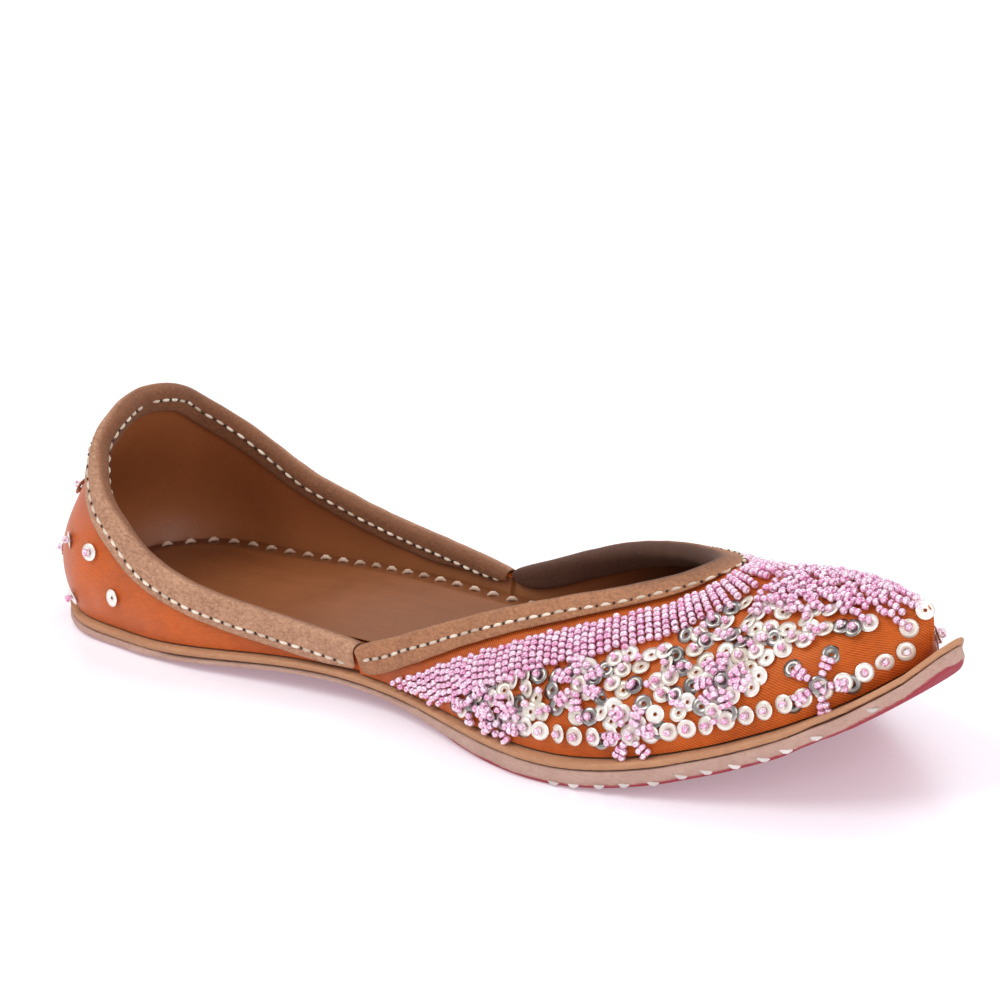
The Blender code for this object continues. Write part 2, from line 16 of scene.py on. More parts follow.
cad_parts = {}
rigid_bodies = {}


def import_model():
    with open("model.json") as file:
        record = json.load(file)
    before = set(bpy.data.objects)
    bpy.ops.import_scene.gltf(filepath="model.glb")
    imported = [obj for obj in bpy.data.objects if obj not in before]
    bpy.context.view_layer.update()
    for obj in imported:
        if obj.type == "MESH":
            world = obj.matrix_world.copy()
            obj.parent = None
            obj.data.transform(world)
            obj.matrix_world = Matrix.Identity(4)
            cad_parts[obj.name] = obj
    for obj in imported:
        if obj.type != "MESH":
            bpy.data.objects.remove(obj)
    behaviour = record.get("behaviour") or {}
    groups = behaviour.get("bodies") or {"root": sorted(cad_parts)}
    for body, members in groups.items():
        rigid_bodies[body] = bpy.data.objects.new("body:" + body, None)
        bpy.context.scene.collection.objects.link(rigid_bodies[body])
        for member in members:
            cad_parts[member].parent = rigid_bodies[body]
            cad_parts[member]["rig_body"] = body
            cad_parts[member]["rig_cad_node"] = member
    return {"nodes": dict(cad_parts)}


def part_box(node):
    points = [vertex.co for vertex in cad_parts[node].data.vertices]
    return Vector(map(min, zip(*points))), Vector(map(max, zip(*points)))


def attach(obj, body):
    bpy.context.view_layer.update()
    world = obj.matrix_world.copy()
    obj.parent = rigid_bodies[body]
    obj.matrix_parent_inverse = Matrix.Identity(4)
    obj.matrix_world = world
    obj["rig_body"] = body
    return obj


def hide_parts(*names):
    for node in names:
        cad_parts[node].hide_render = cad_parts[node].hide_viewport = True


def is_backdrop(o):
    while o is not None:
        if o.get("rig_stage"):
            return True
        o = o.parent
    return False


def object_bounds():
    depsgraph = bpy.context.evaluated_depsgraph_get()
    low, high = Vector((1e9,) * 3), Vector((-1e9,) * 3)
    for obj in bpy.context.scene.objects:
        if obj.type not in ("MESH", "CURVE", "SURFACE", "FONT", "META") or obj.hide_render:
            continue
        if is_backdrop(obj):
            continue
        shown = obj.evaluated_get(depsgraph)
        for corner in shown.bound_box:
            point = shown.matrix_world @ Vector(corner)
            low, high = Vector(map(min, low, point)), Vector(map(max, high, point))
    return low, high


bl_info = {
    "name": "Beaded Slip-on Shoe",
    "version": (1, 0, 0),
    "blender": (4, 5, 0),
    "location": "View3D > Sidebar > Shoe",
    "description": "Covers the packed shoe with satin, leather, stitches, beads and sequins",
    "category": "Object",
}

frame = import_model()
CAD_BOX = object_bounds()
TOE = CAD_BOX[1].x
MM = 0.001
UP = Vector((0, 0, 1))
SIDES = (1, -1)

# Camera, fitted to the photograph: degrees, metres, and the pixel that its aim falls on
CAMERA_AZIMUTH = 42.26
CAMERA_ELEVATION = 19.99
CAMERA_ROLL = -4.54
CAMERA_DISTANCE = 1.229
CAMERA_FOCAL_PIXELS = 5436.7
CAMERA_AIM_PIXEL = (507.1, 681.3)
PHOTO_SIDE = 1000
SENSOR_WIDTH = 36

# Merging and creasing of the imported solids, and the step of a walk over a surface
MERGE = 1e-5
RIM_ANGLE = math.radians(50)
QUAD_ANGLE = math.radians(60)
SOLE_CREASE = 0.93
WALK_PACE = 0.0006

# Heights that rays start from, above and below the shoe
OVER = 0.2
BELOW = -0.1

# Along the shoe, the middles that the heel's and the toe's walls curve round
HEEL_MIDDLE = -0.085
THROAT_MIDDLE = 0.04

# The sole's edge round the toe: where it curls up, where its waves die down and where the tip starts,
# each from and to, then how high it curls, and the length and height of its waves
CURL = (70 * MM, 122 * MM)
CURL_CALM = (112 * MM, 120 * MM)
TIP = (120.5 * MM, 125.5 * MM)
CURL_RISE = 0.9 * MM
CURL_WAVE = 9 * MM
CURL_WAVE_HEIGHT = 1.3 * MM

# From bead to bead on a thread, as a share of a bead's width
BEAD_PITCH = 0.78

# What earlier steps leave for later ones: surfaces, the upper's rim, and the paints of beads and foil
DONE = {}


def alone(obj):
    """Makes obj the only selected object, and the active one."""
    bpy.ops.object.select_all(action="DESELECT")
    obj.select_set(True)
    bpy.context.view_layer.objects.active = obj
    return obj


def added(name):
    """The object that was just added, under its name."""
    made = bpy.context.object
    made.name = name
    return made


def edit(obj, *steps):
    """Runs edit-mode steps on all of obj's mesh."""
    alone(obj)
    bpy.ops.object.mode_set(mode="EDIT")
    bpy.ops.mesh.select_all(action="SELECT")
    for step in steps:
        step()
    bpy.ops.object.mode_set(mode="OBJECT")
    return obj


def apply_modifier(obj, kind, **settings):
    alone(obj)
    modifier = obj.modifiers.new(kind.title(), kind)
    for name, value in settings.items():
        setattr(modifier, name, value)
    bpy.ops.object.modifier_apply(modifier=modifier.name)
    return obj


def subdivide(obj, levels):
    return apply_modifier(obj, "SUBSURF", levels=levels, render_levels=levels)


def smooth_by_angle(obj):
    alone(obj)
    bpy.ops.object.shade_smooth_by_angle(angle=RIM_ANGLE)


def merged_copy(node, name, crease=0.0):
    """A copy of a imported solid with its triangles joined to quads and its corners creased."""
    made = frame["nodes"][node].copy()
    made.data = made.data.copy()
    made.name = name
    made.data.name = name
    made.parent = None
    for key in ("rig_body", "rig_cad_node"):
        if key in made:
            del made[key]
    bpy.context.scene.collection.objects.link(made)
    made.data.materials.clear()
    return edit(
        made,
        bpy.ops.mesh.customdata_custom_splitnormals_clear,
        lambda: bpy.ops.mesh.remove_doubles(threshold=MERGE),
        lambda: bpy.ops.mesh.tris_convert_to_quads(face_threshold=QUAD_ANGLE, shape_threshold=QUAD_ANGLE),
        lambda: bpy.ops.mesh.select_all(action="DESELECT"),
        lambda: bpy.ops.mesh.select_mode(type="EDGE"),
        lambda: bpy.ops.mesh.edges_select_sharp(sharpness=RIM_ANGLE),
        lambda: bpy.ops.transform.edge_crease(value=crease),
        lambda: bpy.ops.mesh.select_mode(type="FACE"),
    )


def placed(obj, paint, replaces=()):
    """Gives a finished piece its finish and its body, and hides the solids it stands for."""
    for made in paint if isinstance(paint, tuple) else (paint,):
        obj.data.materials.append(made)
    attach(obj, "root")
    if replaces:
        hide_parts(*replaces)


class Skin:
    """A mesh's surface, for finding places on it and the normals there."""

    def __init__(self, obj):
        points = [vert.co for vert in obj.data.vertices]
        self.tree = BVHTree.FromPolygons(points, [tuple(face.vertices) for face in obj.data.polygons])

    def nearest(self, place):
        return self.tree.find_nearest(Vector(place))[:2]

    def hit(self, origin, direction):
        return self.tree.ray_cast(Vector(origin), Vector(direction).normalized())[:2]

    def top(self, x, y=0):
        return self.hit((x, y, OVER), -UP)

    def walk(self, start, heading, distances):
        """Places over the surface at these distances from a start, going straight on in a heading."""
        place, normal = self.nearest(start)
        heading = level_with(normal, heading)
        walked = 0.0
        found = []
        for distance in distances:
            while distance - walked > MERGE:
                pace = min(WALK_PACE, distance - walked)
                place, normal = self.nearest(place + heading * pace)
                heading = level_with(normal, heading)
                walked += pace
            found.append((place.copy(), normal.copy(), heading.copy()))
        return found


def level_with(normal, heading):
    """A heading laid flat on the surface that has this normal."""
    heading = Vector(heading)
    return (heading - normal * heading.dot(normal)).normalized()


def numbers(mesh, kind="co"):
    """A mesh's vertices, or their normals, as an array."""
    flat = np.empty(len(mesh.vertices) * 3)
    mesh.vertices.foreach_get(kind, flat)
    return flat.reshape(-1, 3)


def set_numbers(mesh, points):
    mesh.vertices.foreach_set("co", np.asarray(points, float).ravel())
    mesh.update()


def ramp(values, low, high):
    """0 up to a low value, 1 from a high one on, and straight between them."""
    return np.clip((values - low) / (high - low), 0, 1)


def store(mesh, name, values):
    """Keeps a number for each vertex, for the materials to read."""
    layer = mesh.attributes.new(name, "FLOAT", "POINT")
    layer.data.foreach_set("value", np.asarray(values, np.float32))


def half_rim(merged):
    """The upper's outer top edge on the side with y above 0, from the heel to the throat."""
    shape = bmesh.new()
    shape.from_mesh(merged.data)
    sharp = {edge for edge in shape.edges
             if len(edge.link_faces) == 2 and edge.calc_face_angle() > RIM_ANGLE}
    middle = [vert for edge in sharp for vert in edge.verts
              if abs(vert.co.y) < MERGE and vert.co.x < 0 and vert.co.z > CAD_BOX[1].z / 2]
    here = min(middle, key=lambda vert: vert.co.x)
    heading = Vector((0, 1, 0))
    line = [here.co.copy()]
    while len(line) == 1 or abs(here.co.y) >= MERGE:
        onward = [edge.other_vert(here) for edge in here.link_edges if edge in sharp]
        following = max(onward, key=lambda vert: (vert.co - here.co).normalized().dot(heading))
        heading = (following.co - here.co).normalized()
        here = following
        line.append(here.co.copy())
    shape.free()
    return np.array(line)


def run_of(line):
    """How far along a line each of its points lies."""
    steps = np.linalg.norm(np.diff(line, axis=0), axis=1)
    return np.concatenate([[0], np.cumsum(steps)])


def on_line(line, run, where):
    """The place on a line that lies this far along it. Many distances give a place in each row."""
    return np.stack([np.interp(where, run, line[:, k]) for k in range(line.shape[1])], -1)


def along(line, distances, reach=2.5 * MM):
    """The points at these distances along one side's line, and its smoothed direction at each."""
    mirrored = line[::-1] * (1, -1, 1)
    whole = np.concatenate([mirrored[:-1], line, mirrored[1:]])
    run = run_of(whole) - run_of(line)[-1]
    ahead = on_line(whole, run, distances + reach) - on_line(whole, run, distances - reach)
    return on_line(whole, run, distances), ahead / np.linalg.norm(ahead, axis=1)[:, None]


def evened(values, reach):
    """Each row of values replaced by the mean of its neighbours, as many before as after."""
    nears = [min(reach, i, len(values) - 1 - i) for i in range(len(values))]
    return [values[i - near:i + near + 1].mean(0) for i, near in enumerate(nears)]


def sewn(name, pattern, places, tones, paint, replaces=()):
    """One piece with a copy of the pattern at each place. Each copy carries its tone, from 0 to 1."""
    points = numbers(pattern.data)
    faces = [tuple(face.vertices) for face in pattern.data.polygons]
    corners = []
    polygons = []
    for i, place in enumerate(places):
        matrix = np.array(place)
        corners.append(points @ matrix[:3, :3].T + matrix[:3, 3])
        base = i * len(points)
        polygons.extend(tuple(base + k for k in face) for face in faces)
    bpy.data.objects.remove(pattern)
    mesh = bpy.data.meshes.new(name)
    mesh.from_pydata(np.concatenate(corners).tolist(), [], polygons)
    store(mesh, "tone", np.repeat(tones, len(points)))
    mesh.shade_smooth()
    made = bpy.data.objects.new(name, mesh)
    bpy.context.scene.collection.objects.link(made)
    placed(made, paint, replaces)


def frame_at(place, normal, heading, lift=0.0):
    """The matrix of a copy that lies on a surface: X along the heading and Z along the normal."""
    z = Vector(normal).normalized()
    x = level_with(z, heading)
    matrix = Matrix((x, z.cross(x), z)).transposed().to_4x4()
    matrix.translation = Vector(place) + z * lift
    return matrix


def turned(matrix, angle, axis):
    return matrix @ Matrix.Rotation(angle, 4, axis)


class Wire:
    """A shader socket, which Python's operators join with Math nodes."""

    def __init__(self, paint, socket):
        self.paint = paint
        self.socket = socket

    def math(self, operation, *others, clamp=False):
        return self.paint.math(operation, self, *others, clamp=clamp)

    def __add__(self, other):
        return self.math("ADD", other)

    __radd__ = __add__

    def __mul__(self, other):
        return self.math("MULTIPLY", other)

    def __sub__(self, other):
        return self.math("SUBTRACT", other)

    def __rsub__(self, other):
        return self.paint.math("SUBTRACT", other, self)

    def __pow__(self, other):
        return self.math("POWER", other)

    def clamped(self, more=0.0):
        return self.math("ADD", more, clamp=True)

    def sine(self):
        return self.math("SINE")

    def between(self, low, high):
        """0 where the value is low, 1 where it is high, smooth between them."""
        return self.paint.node(
            "ShaderNodeMapRange",
            {"interpolation_type": "SMOOTHSTEP"},
            {"Value": self, "From Min": low, "From Max": high},
        )


class Paint:
    """A material under construction: one Principled shader and the nodes that feed it."""

    def __init__(self, name, **fixed):
        self.material = bpy.data.materials.new(name)
        self.material.use_nodes = True
        self.tree = self.material.node_tree
        self.feed(**fixed)
        self.place = self.node("ShaderNodeTexCoord", output="Object")

    def give(self, socket, value):
        """Joins a wire to a socket, or sets the socket to numbers."""
        if isinstance(value, Wire):
            self.tree.links.new(value.socket, socket)
        else:
            socket.default_value = value

    def feed(self, **values):
        shader = self.tree.nodes["Principled BSDF"]
        for name, value in values.items():
            self.give(shader.inputs[name.replace("_", " ").title().replace("Ior", "IOR")], value)
        return self.material

    def node(self, kind, settings=None, values=None, output=0):
        made = self.tree.nodes.new(kind)
        for name, value in (settings or {}).items():
            setattr(made, name, value)
        for name, value in (values or {}).items():
            self.give(made.inputs[name], value)
        return Wire(self, made.outputs[output])

    def math(self, operation, *values, clamp=False):
        settings = {"operation": operation, "use_clamp": clamp}
        return self.node("ShaderNodeMath", settings, dict(enumerate(values)))

    def attribute(self, name):
        return self.node("ShaderNodeAttribute", {"attribute_name": name}, output="Fac")

    def split(self, vector):
        parts = self.node("ShaderNodeSeparateXYZ", None, {0: vector})
        return [Wire(self, output) for output in parts.socket.node.outputs]

    def noise(self, size, detail=3, roughness=0.5, place=None, stretch=(1, 1, 1)):
        """Clouds whose spots are about size across, in millimetres."""
        where = self.node("ShaderNodeMapping", None, {"Vector": place or self.place, "Scale": stretch})
        return self.node("ShaderNodeTexNoise", None, {
            "Vector": where, "Scale": 1 / (size * MM), "Detail": detail, "Roughness": roughness})

    def cells(self, size, feature="F1"):
        return self.node(
            "ShaderNodeTexVoronoi", {"feature": feature}, {"Vector": self.place, "Scale": 1 / (size * MM)})

    def mix(self, factor, first, second):
        """A colour between two others, each a wire, 3 numbers or the name of one of the shoe's colours."""
        ends = []
        for colour in (first, second):
            if isinstance(colour, str):
                colour = getattr(colours(), colour)
            ends.append(colour if isinstance(colour, Wire) else (*colour, 1))
        return self.node("ShaderNodeMix", {"data_type": "RGBA"}, {0: factor, 6: ends[0], 7: ends[1]}, 2)

    def bump(self, height, distance, strength):
        """Relief of a height, with its distance in millimetres."""
        return self.node(
            "ShaderNodeBump", None, {"Height": height, "Distance": distance * MM, "Strength": strength})


def satin():
    """Burnt orange satin: fine diagonal ribs and a soft gloss, with painted highlights and shade between lit
    and shaded tones.
    """
    paint = Paint("orange_satin", specular_ior_level=0.6, specular_tint=(1, 0.50, 0.22, 1), sheen_weight=0.05)
    cloth = paint.node("ShaderNodeUVMap", {"uv_map": "cloth"})
    along_foot, up_wall, _ = paint.split(cloth)
    rib = ((along_foot * 0.72 + up_wall) * (math.tau / (0.62 * MM))).sine()
    weft = (along_foot * (math.tau / (0.40 * MM))).sine()
    threads = paint.noise(0.6, 2, 0.6, cloth, (0.25, 1, 1))
    # Painted highlights and shade: ribs, threads and broad soft patches move the colour between lit and
    # shaded satin
    shade = (rib * 0.30 + weft * 0.08 + threads * 0.60 + paint.noise(16) * 0.90 - 0.25).clamped()
    return paint.feed(
        base_color=paint.mix(shade, "satin_dark", "satin_light"),
        roughness=0.30 + threads * 0.22,
        normal=paint.bump(rib * 0.5 + weft * 0.2 + threads, 0.05, 0.6),
    )


def lining():
    """Smooth brown lining leather, lighter at the waist, with painted shade under the vamp and a faint grain.
    """
    paint = Paint("lining_leather")
    x = paint.split(paint.place)[0]
    wear = paint.noise(22, 3, 0.55)
    pores = paint.noise(0.7, 3, 0.6)
    tone = paint.mix(x.between(-0.105, -0.030), "lining_heel", "lining_waist")
    tone = paint.mix((wear * 0.9 - 0.15).clamped() * 0.6, tone, "insole_dark")
    return paint.feed(
        # Painted shade: the lining turns almost black under the vamp
        base_color=paint.mix(x.between(-0.005, 0.035), tone, "lining_toe"),
        roughness=0.30 + pores * 0.25,
        normal=paint.bump(paint.cells(1.1) * 0.5 + pores, 0.10, 0.35),
    )


def suede(name, tone):
    """Split leather with a rough crackled nap outside, pressed smooth and darker inside; on the vamp's
    binding the dark inside is painted shade.
    """
    paint = Paint(name, sheen_weight=0.08, sheen_roughness=0.5, sheen_tint=(1, 0.8, 0.65, 1))
    nap = paint.noise(0.7, 4, 0.75, stretch=(0.6, 1, 1))
    lines = 1 - paint.cells(1.2, "DISTANCE_TO_EDGE").between(0.0, 0.14)
    shade = (nap * 1.6 + paint.noise(6, 3, 0.6) * 0.5 - lines * 0.10 - 0.58).clamped()
    outside = paint.mix(shade, tone + "_dark", tone + "_light")
    # The inner fold's tone; on the vamp's binding it is painted shade
    inner = getattr(colours(), tone + "_inner")
    inside = paint.mix(shade, inner * 0.45, inner)
    return paint.feed(
        base_color=paint.mix(paint.attribute("inner"), outside, inside),
        roughness=0.66 + nap * 0.25,
        normal=paint.bump(nap - lines * 0.2, 0.30, 0.7),
    )


def cut_leather(name, tone, under, share):
    """The cut edge of a sole layer: fuzzy fibres, and the colour of its underside creeping up."""
    paint = Paint(name)
    fibre = paint.noise(0.8, 5, 0.7, stretch=(0.5, 0.5, 1.6))
    patches = paint.noise(6, 3, 0.6)
    speck = paint.noise(1.3, 2, 0.5).between(0.62, 0.72)
    side = paint.mix((fibre * 0.8 + patches * 0.5 - 0.15).clamped(), tone + "_dark", tone + "_light")
    edge = 1 - (paint.attribute("rise") + (fibre - 0.5) * 0.22).between(share * 0.6, share * 1.3)
    side = paint.mix(speck * edge.clamped(0.35) * 0.6, side, tone + "_dark")
    return paint.feed(
        base_color=paint.mix(edge, side, under),
        roughness=0.80 + fibre * 0.15,
        normal=paint.bump(fibre + patches * 0.5, 0.30, 0.6),
    )


def insole_leather(name):
    """Smooth insole leather with long faint scratches, and painted shade under the vamp."""
    paint = Paint(name, specular_tint=(1, 0.75, 0.5, 1))
    grain = paint.noise(0.9, 4, 0.6)
    scratches = paint.noise(3, 3, 0.6, stretch=(0.15, 1, 1))
    shade = (paint.noise(18, 3, 0.55) * 0.8 + scratches * 0.3 - 0.1).clamped()
    # Painted shade: the insole turns darker under the vamp
    vamp_shade_mask = paint.split(paint.place)[0].between(-0.02, 0.09)
    colour = paint.mix(shade, "insole_dark", "insole_light")
    return paint.feed(
        base_color=paint.mix(vamp_shade_mask * 0.6, colour, "insole_dark"),
        roughness=0.32 + grain * 0.22,
        normal=paint.bump(grain + scratches, 0.10, 0.3),
    )


def thread(name, light, dark):
    """Twisted thread, lighter and darker from stitch to stitch."""
    paint = Paint(name, roughness=0.65)
    fuzz = paint.noise(0.3, 2)
    shade = (paint.attribute("tone") * 0.7 + fuzz * 0.4).clamped()
    return paint.feed(base_color=paint.mix(shade, dark, light), normal=paint.bump(fuzz, 0.08, 0.5))


def glass():
    """Pink glass of the seed beads, tone by tone, with streaks of painted glint and deeper pink shade over
    each bead.
    """
    paint = Paint("pink_glass", coat_weight=1, coat_roughness=0.03, specular_ior_level=0.8, metallic=0.35)
    streak_and_glint = paint.noise(0.7, 2)
    # Painted highlights and shade: streaks make each bead paler and deeper pink in patches
    shade = (paint.attribute("tone") * 0.5 + streak_and_glint * 2.6 - 1.0).clamped()
    colour = paint.mix(shade, "glass_dark", "glass_light")
    return paint.feed(base_color=colour, roughness=0.06 + streak_and_glint * 0.12)


def foil(name, tone, metal):
    """The face of a sequin: pearl or silver foil, uneven and scratched, with painted reflections that make
    each sequin lighter or darker.
    """
    paint = Paint(name, coat_weight=0.4, coat_roughness=0.1, specular_ior_level=0.7, metallic=metal)
    worn = paint.noise(2.4, 2)
    # Painted reflections: each sequin's tone sets how light its foil looks
    shade = (paint.attribute("tone") ** 0.6 + worn * 0.5 - 0.25).clamped()
    return paint.feed(
        base_color=paint.mix(shade, tone + "_dark", tone + "_light"),
        roughness=0.2 + worn * 0.15,
        normal=paint.bump(worn, 0.05, 0.25),
    )


def length(name, description, default):
    """A size that a maker would change."""
    return bpy.props.FloatProperty(name=name, description=description, default=default, unit="LENGTH")


def tint(name, description, default):
    """A colour that a maker would change."""
    return bpy.props.FloatVectorProperty(
        name=name, description=description, default=default, subtype="COLOR", size=3, min=0, max=1)


class ShoeSizes(bpy.types.PropertyGroup):
    """Sizes of what is sewn and glued to the shoe, in metres."""
    bead: length("Bead", "Width of a glass bead", 0.00185)
    sequin: length("Sequin", "Width of a sequin", 0.0042)
    stitch: length("Stitch", "Pitch of the binding's stitches", 0.0032)
    sole_stitch: length("Sole stitch", "Pitch of the sole's stitches", 0.0062)
    insole_stitch: length("Insole stitch", "Pitch of the insole's stitches", 0.0056)
    sock_inset: length("Sock inset", "From the insole's edge to the sock's", 0.0070)


class ShoeColours(bpy.types.PropertyGroup):
    """Light and dark tones of cloth, leather, glass and foil."""
    # Painted highlights and shade: the satin's lit and shaded tones
    satin_light: tint("Satin, light", "Raised threads of the satin", (0.72, 0.145, 0.020))
    satin_dark: tint("Satin, dark", "Sunken threads of the satin", (0.27, 0.036, 0.006))
    lining_heel: tint("Lining, heel", "Lining leather in the heel", (0.36, 0.115, 0.036))
    lining_waist: tint("Lining, waist", "Lining leather beside the waist", (0.38, 0.14, 0.05))
    # Painted shade: the lining's near-black tone under the vamp
    lining_toe: tint("Lining, toe", "Lining leather under the vamp", (0.055, 0.017, 0.010))
    insole_light: tint("Insole, light", "Worn insole leather", (0.31, 0.103, 0.034))
    insole_dark: tint("Insole, dark", "Shaded insole leather", (0.15, 0.045, 0.014))
    binding_light: tint("Collar, light", "Raised nap of the collar's binding", (0.70, 0.40, 0.245))
    binding_dark: tint("Collar, dark", "Pressed nap of the collar's binding", (0.24, 0.095, 0.042))
    binding_inner: tint("Collar, inner", "Inner fold of the collar's binding", (0.30, 0.110, 0.042))
    throat_light: tint("Throat, light", "Raised nap of the vamp's binding", (0.58, 0.265, 0.125))
    throat_dark: tint("Throat, dark", "Pressed nap of the vamp's binding", (0.21, 0.075, 0.030))
    # Painted shade: the vamp's binding's near-black inner fold
    throat_inner: tint("Throat, inner", "Inner fold of the vamp's binding", (0.12, 0.040, 0.018))
    rand_light: tint("Rand, light", "Cut edge of the upper sole layer", (0.68, 0.36, 0.185))
    rand_dark: tint("Rand, dark", "Pores of the upper sole layer", (0.35, 0.16, 0.085))
    sole_light: tint("Outsole, light", "Cut edge of the lower sole layer", (0.64, 0.44, 0.36))
    sole_dark: tint("Outsole, dark", "Pores of the lower sole layer", (0.36, 0.19, 0.14))
    underside: tint("Underside", "Dyed leather below the sole", (0.32, 0.030, 0.045))
    # Pale and deep glass: tone from bead to bead, and painted glints and shade within each bead
    glass_light: tint("Glass, light", "Palest seed beads", (1.0, 0.84, 0.94))
    glass_dark: tint("Glass, dark", "Deepest seed beads", (0.80, 0.25, 0.50))
    # Painted reflections: the foils' light and dark tones stand for what the sequins mirror
    pearl_light: tint("Pearl foil, light", "Palest sequins", (0.97, 0.94, 0.86))
    pearl_dark: tint("Pearl foil, dark", "Darkest pearl sequins", (0.72, 0.63, 0.50))
    silver_light: tint("Silver foil, light", "Palest silver sequins", (0.45, 0.43, 0.40))
    silver_dark: tint("Silver foil, dark", "Darkest silver sequins", (0.09, 0.085, 0.08))


def sizes():
    return bpy.context.scene.shoe_sizes


def colours():
    return bpy.context.scene.shoe_colours


class SHOE_OT_stage(bpy.types.Operator):
    """Set up the pale floor, the soft light and the camera at the photograph's angle"""
    bl_idname = "shoe.stage"
    bl_label = "Stage"
    LIGHTS = (
        # name, place, side of the square, watts, colour
        ("key", (-0.50, -0.60, 1.10), 0.8, 7.5, (1.0, 0.985, 0.97)),
        ("fill", (1.05, -0.45, 0.50), 0.9, 5.0, (0.98, 0.97, 1.0)),
        ("back", (-0.10, 0.80, 1.00), 0.9, 6.0, (1.0, 0.985, 0.99)),
    )
    FLOOR_SIDE = 8.0
    # The floor's own faint glow keeps the shade under the toe as pale as in the photograph
    FLOOR_GLOW = 0.26

    def execute(self, context):
        self.make_camera(context.scene)
        world = bpy.data.worlds.new("pale_room")
        world.use_nodes = True
        background = world.node_tree.nodes["Background"]
        background.inputs["Color"].default_value = (0.985, 0.975, 1.0, 1)
        background.inputs["Strength"].default_value = 0.60
        context.scene.world = world
        context.scene.view_settings.view_transform = "Standard"
        bpy.ops.mesh.primitive_plane_add(size=self.FLOOR_SIDE)
        floor = added("floor")
        paint = Paint(
            "pale_floor", roughness=0.22, specular_ior_level=0.55, emission_strength=self.FLOOR_GLOW,
            base_color=(0.885, 0.875, 0.915, 1), emission_color=(0.97, 0.90, 1.0, 1))
        floor.data.materials.append(paint.material)
        floor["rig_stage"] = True
        for light in self.LIGHTS:
            self.make_light(*light)
        return {"FINISHED"}

    def make_camera(self, scene):
        azimuth, elevation, roll = (math.radians(a) for a in (CAMERA_AZIMUTH, CAMERA_ELEVATION, CAMERA_ROLL))
        level = Vector((math.cos(azimuth), math.sin(azimuth), 0))
        back = Vector((math.sin(azimuth) * math.cos(elevation),
                       -math.cos(azimuth) * math.cos(elevation), math.sin(elevation)))
        upright = back.cross(level)
        right = level * math.cos(roll) + upright * math.sin(roll)
        top = upright * math.cos(roll) - level * math.sin(roll)
        across, above = (
            (pixel - PHOTO_SIDE / 2) / CAMERA_FOCAL_PIXELS * CAMERA_DISTANCE for pixel in CAMERA_AIM_PIXEL)
        bpy.ops.object.camera_add()
        camera = added("camera")
        matrix = Matrix((right, top, back)).transposed().to_4x4()
        matrix.translation = back * CAMERA_DISTANCE - right * across + top * above
        camera.matrix_world = matrix
        camera.data.sensor_width = SENSOR_WIDTH
        camera.data.lens = CAMERA_FOCAL_PIXELS * SENSOR_WIDTH / PHOTO_SIDE
        camera.data.clip_start = 0.01
        camera.data.clip_end = 50
        scene.camera = camera

    def make_light(self, name, place, side, power, colour):
        bpy.ops.object.light_add(type="AREA", location=place)
        light = added(name)
        light.data.shape = "SQUARE"
        light.data.size = side
        light.data.energy = power
        light.data.color = colour
        light.rotation_mode = "QUATERNION"
        light.rotation_quaternion = (-Vector(place)).to_track_quat("-Z", "Y")


def floor_of_upper(x):
    """How high the sole's top is under the shoe's middle."""
    place, _ = DONE["midsole"].top(x)
    return place.z if place is not None else CAD_BOX[0].z


def outward_at(place):
    """The level direction out of the shoe through a place on its wall."""
    x, y = place[0], place[1]
    return Vector((x - min(max(x, HEEL_MIDDLE), THROAT_MIDDLE), y, 0)).normalized()


def foot_line(merged):
    """The upper's foot seen from above, from the heel round one side to the toe."""
    skin = Skin(merged)
    ends = []
    for way, x in ((-1, CAD_BOX[0].x), (1, TOE)):
        height = floor_of_upper(x - way * 12 * MM) + 2 * MM
        ends.append(skin.hit((x * 2, 0, height), (-way, 0, 0))[0].x)
    line = [(ends[0], 0.0)]
    for x in np.linspace(*ends, 160)[1:-1]:
        for lift in (MM, 2 * MM, 4 * MM):
            place, _ = skin.hit((x, OVER, floor_of_upper(x) + lift), (0, -1, 0))
            if place is not None:
                break
        if place is not None and place.y > 0:
            line.append((x, place.y))
    line.append((ends[1], 0.0))
    return np.array(line)


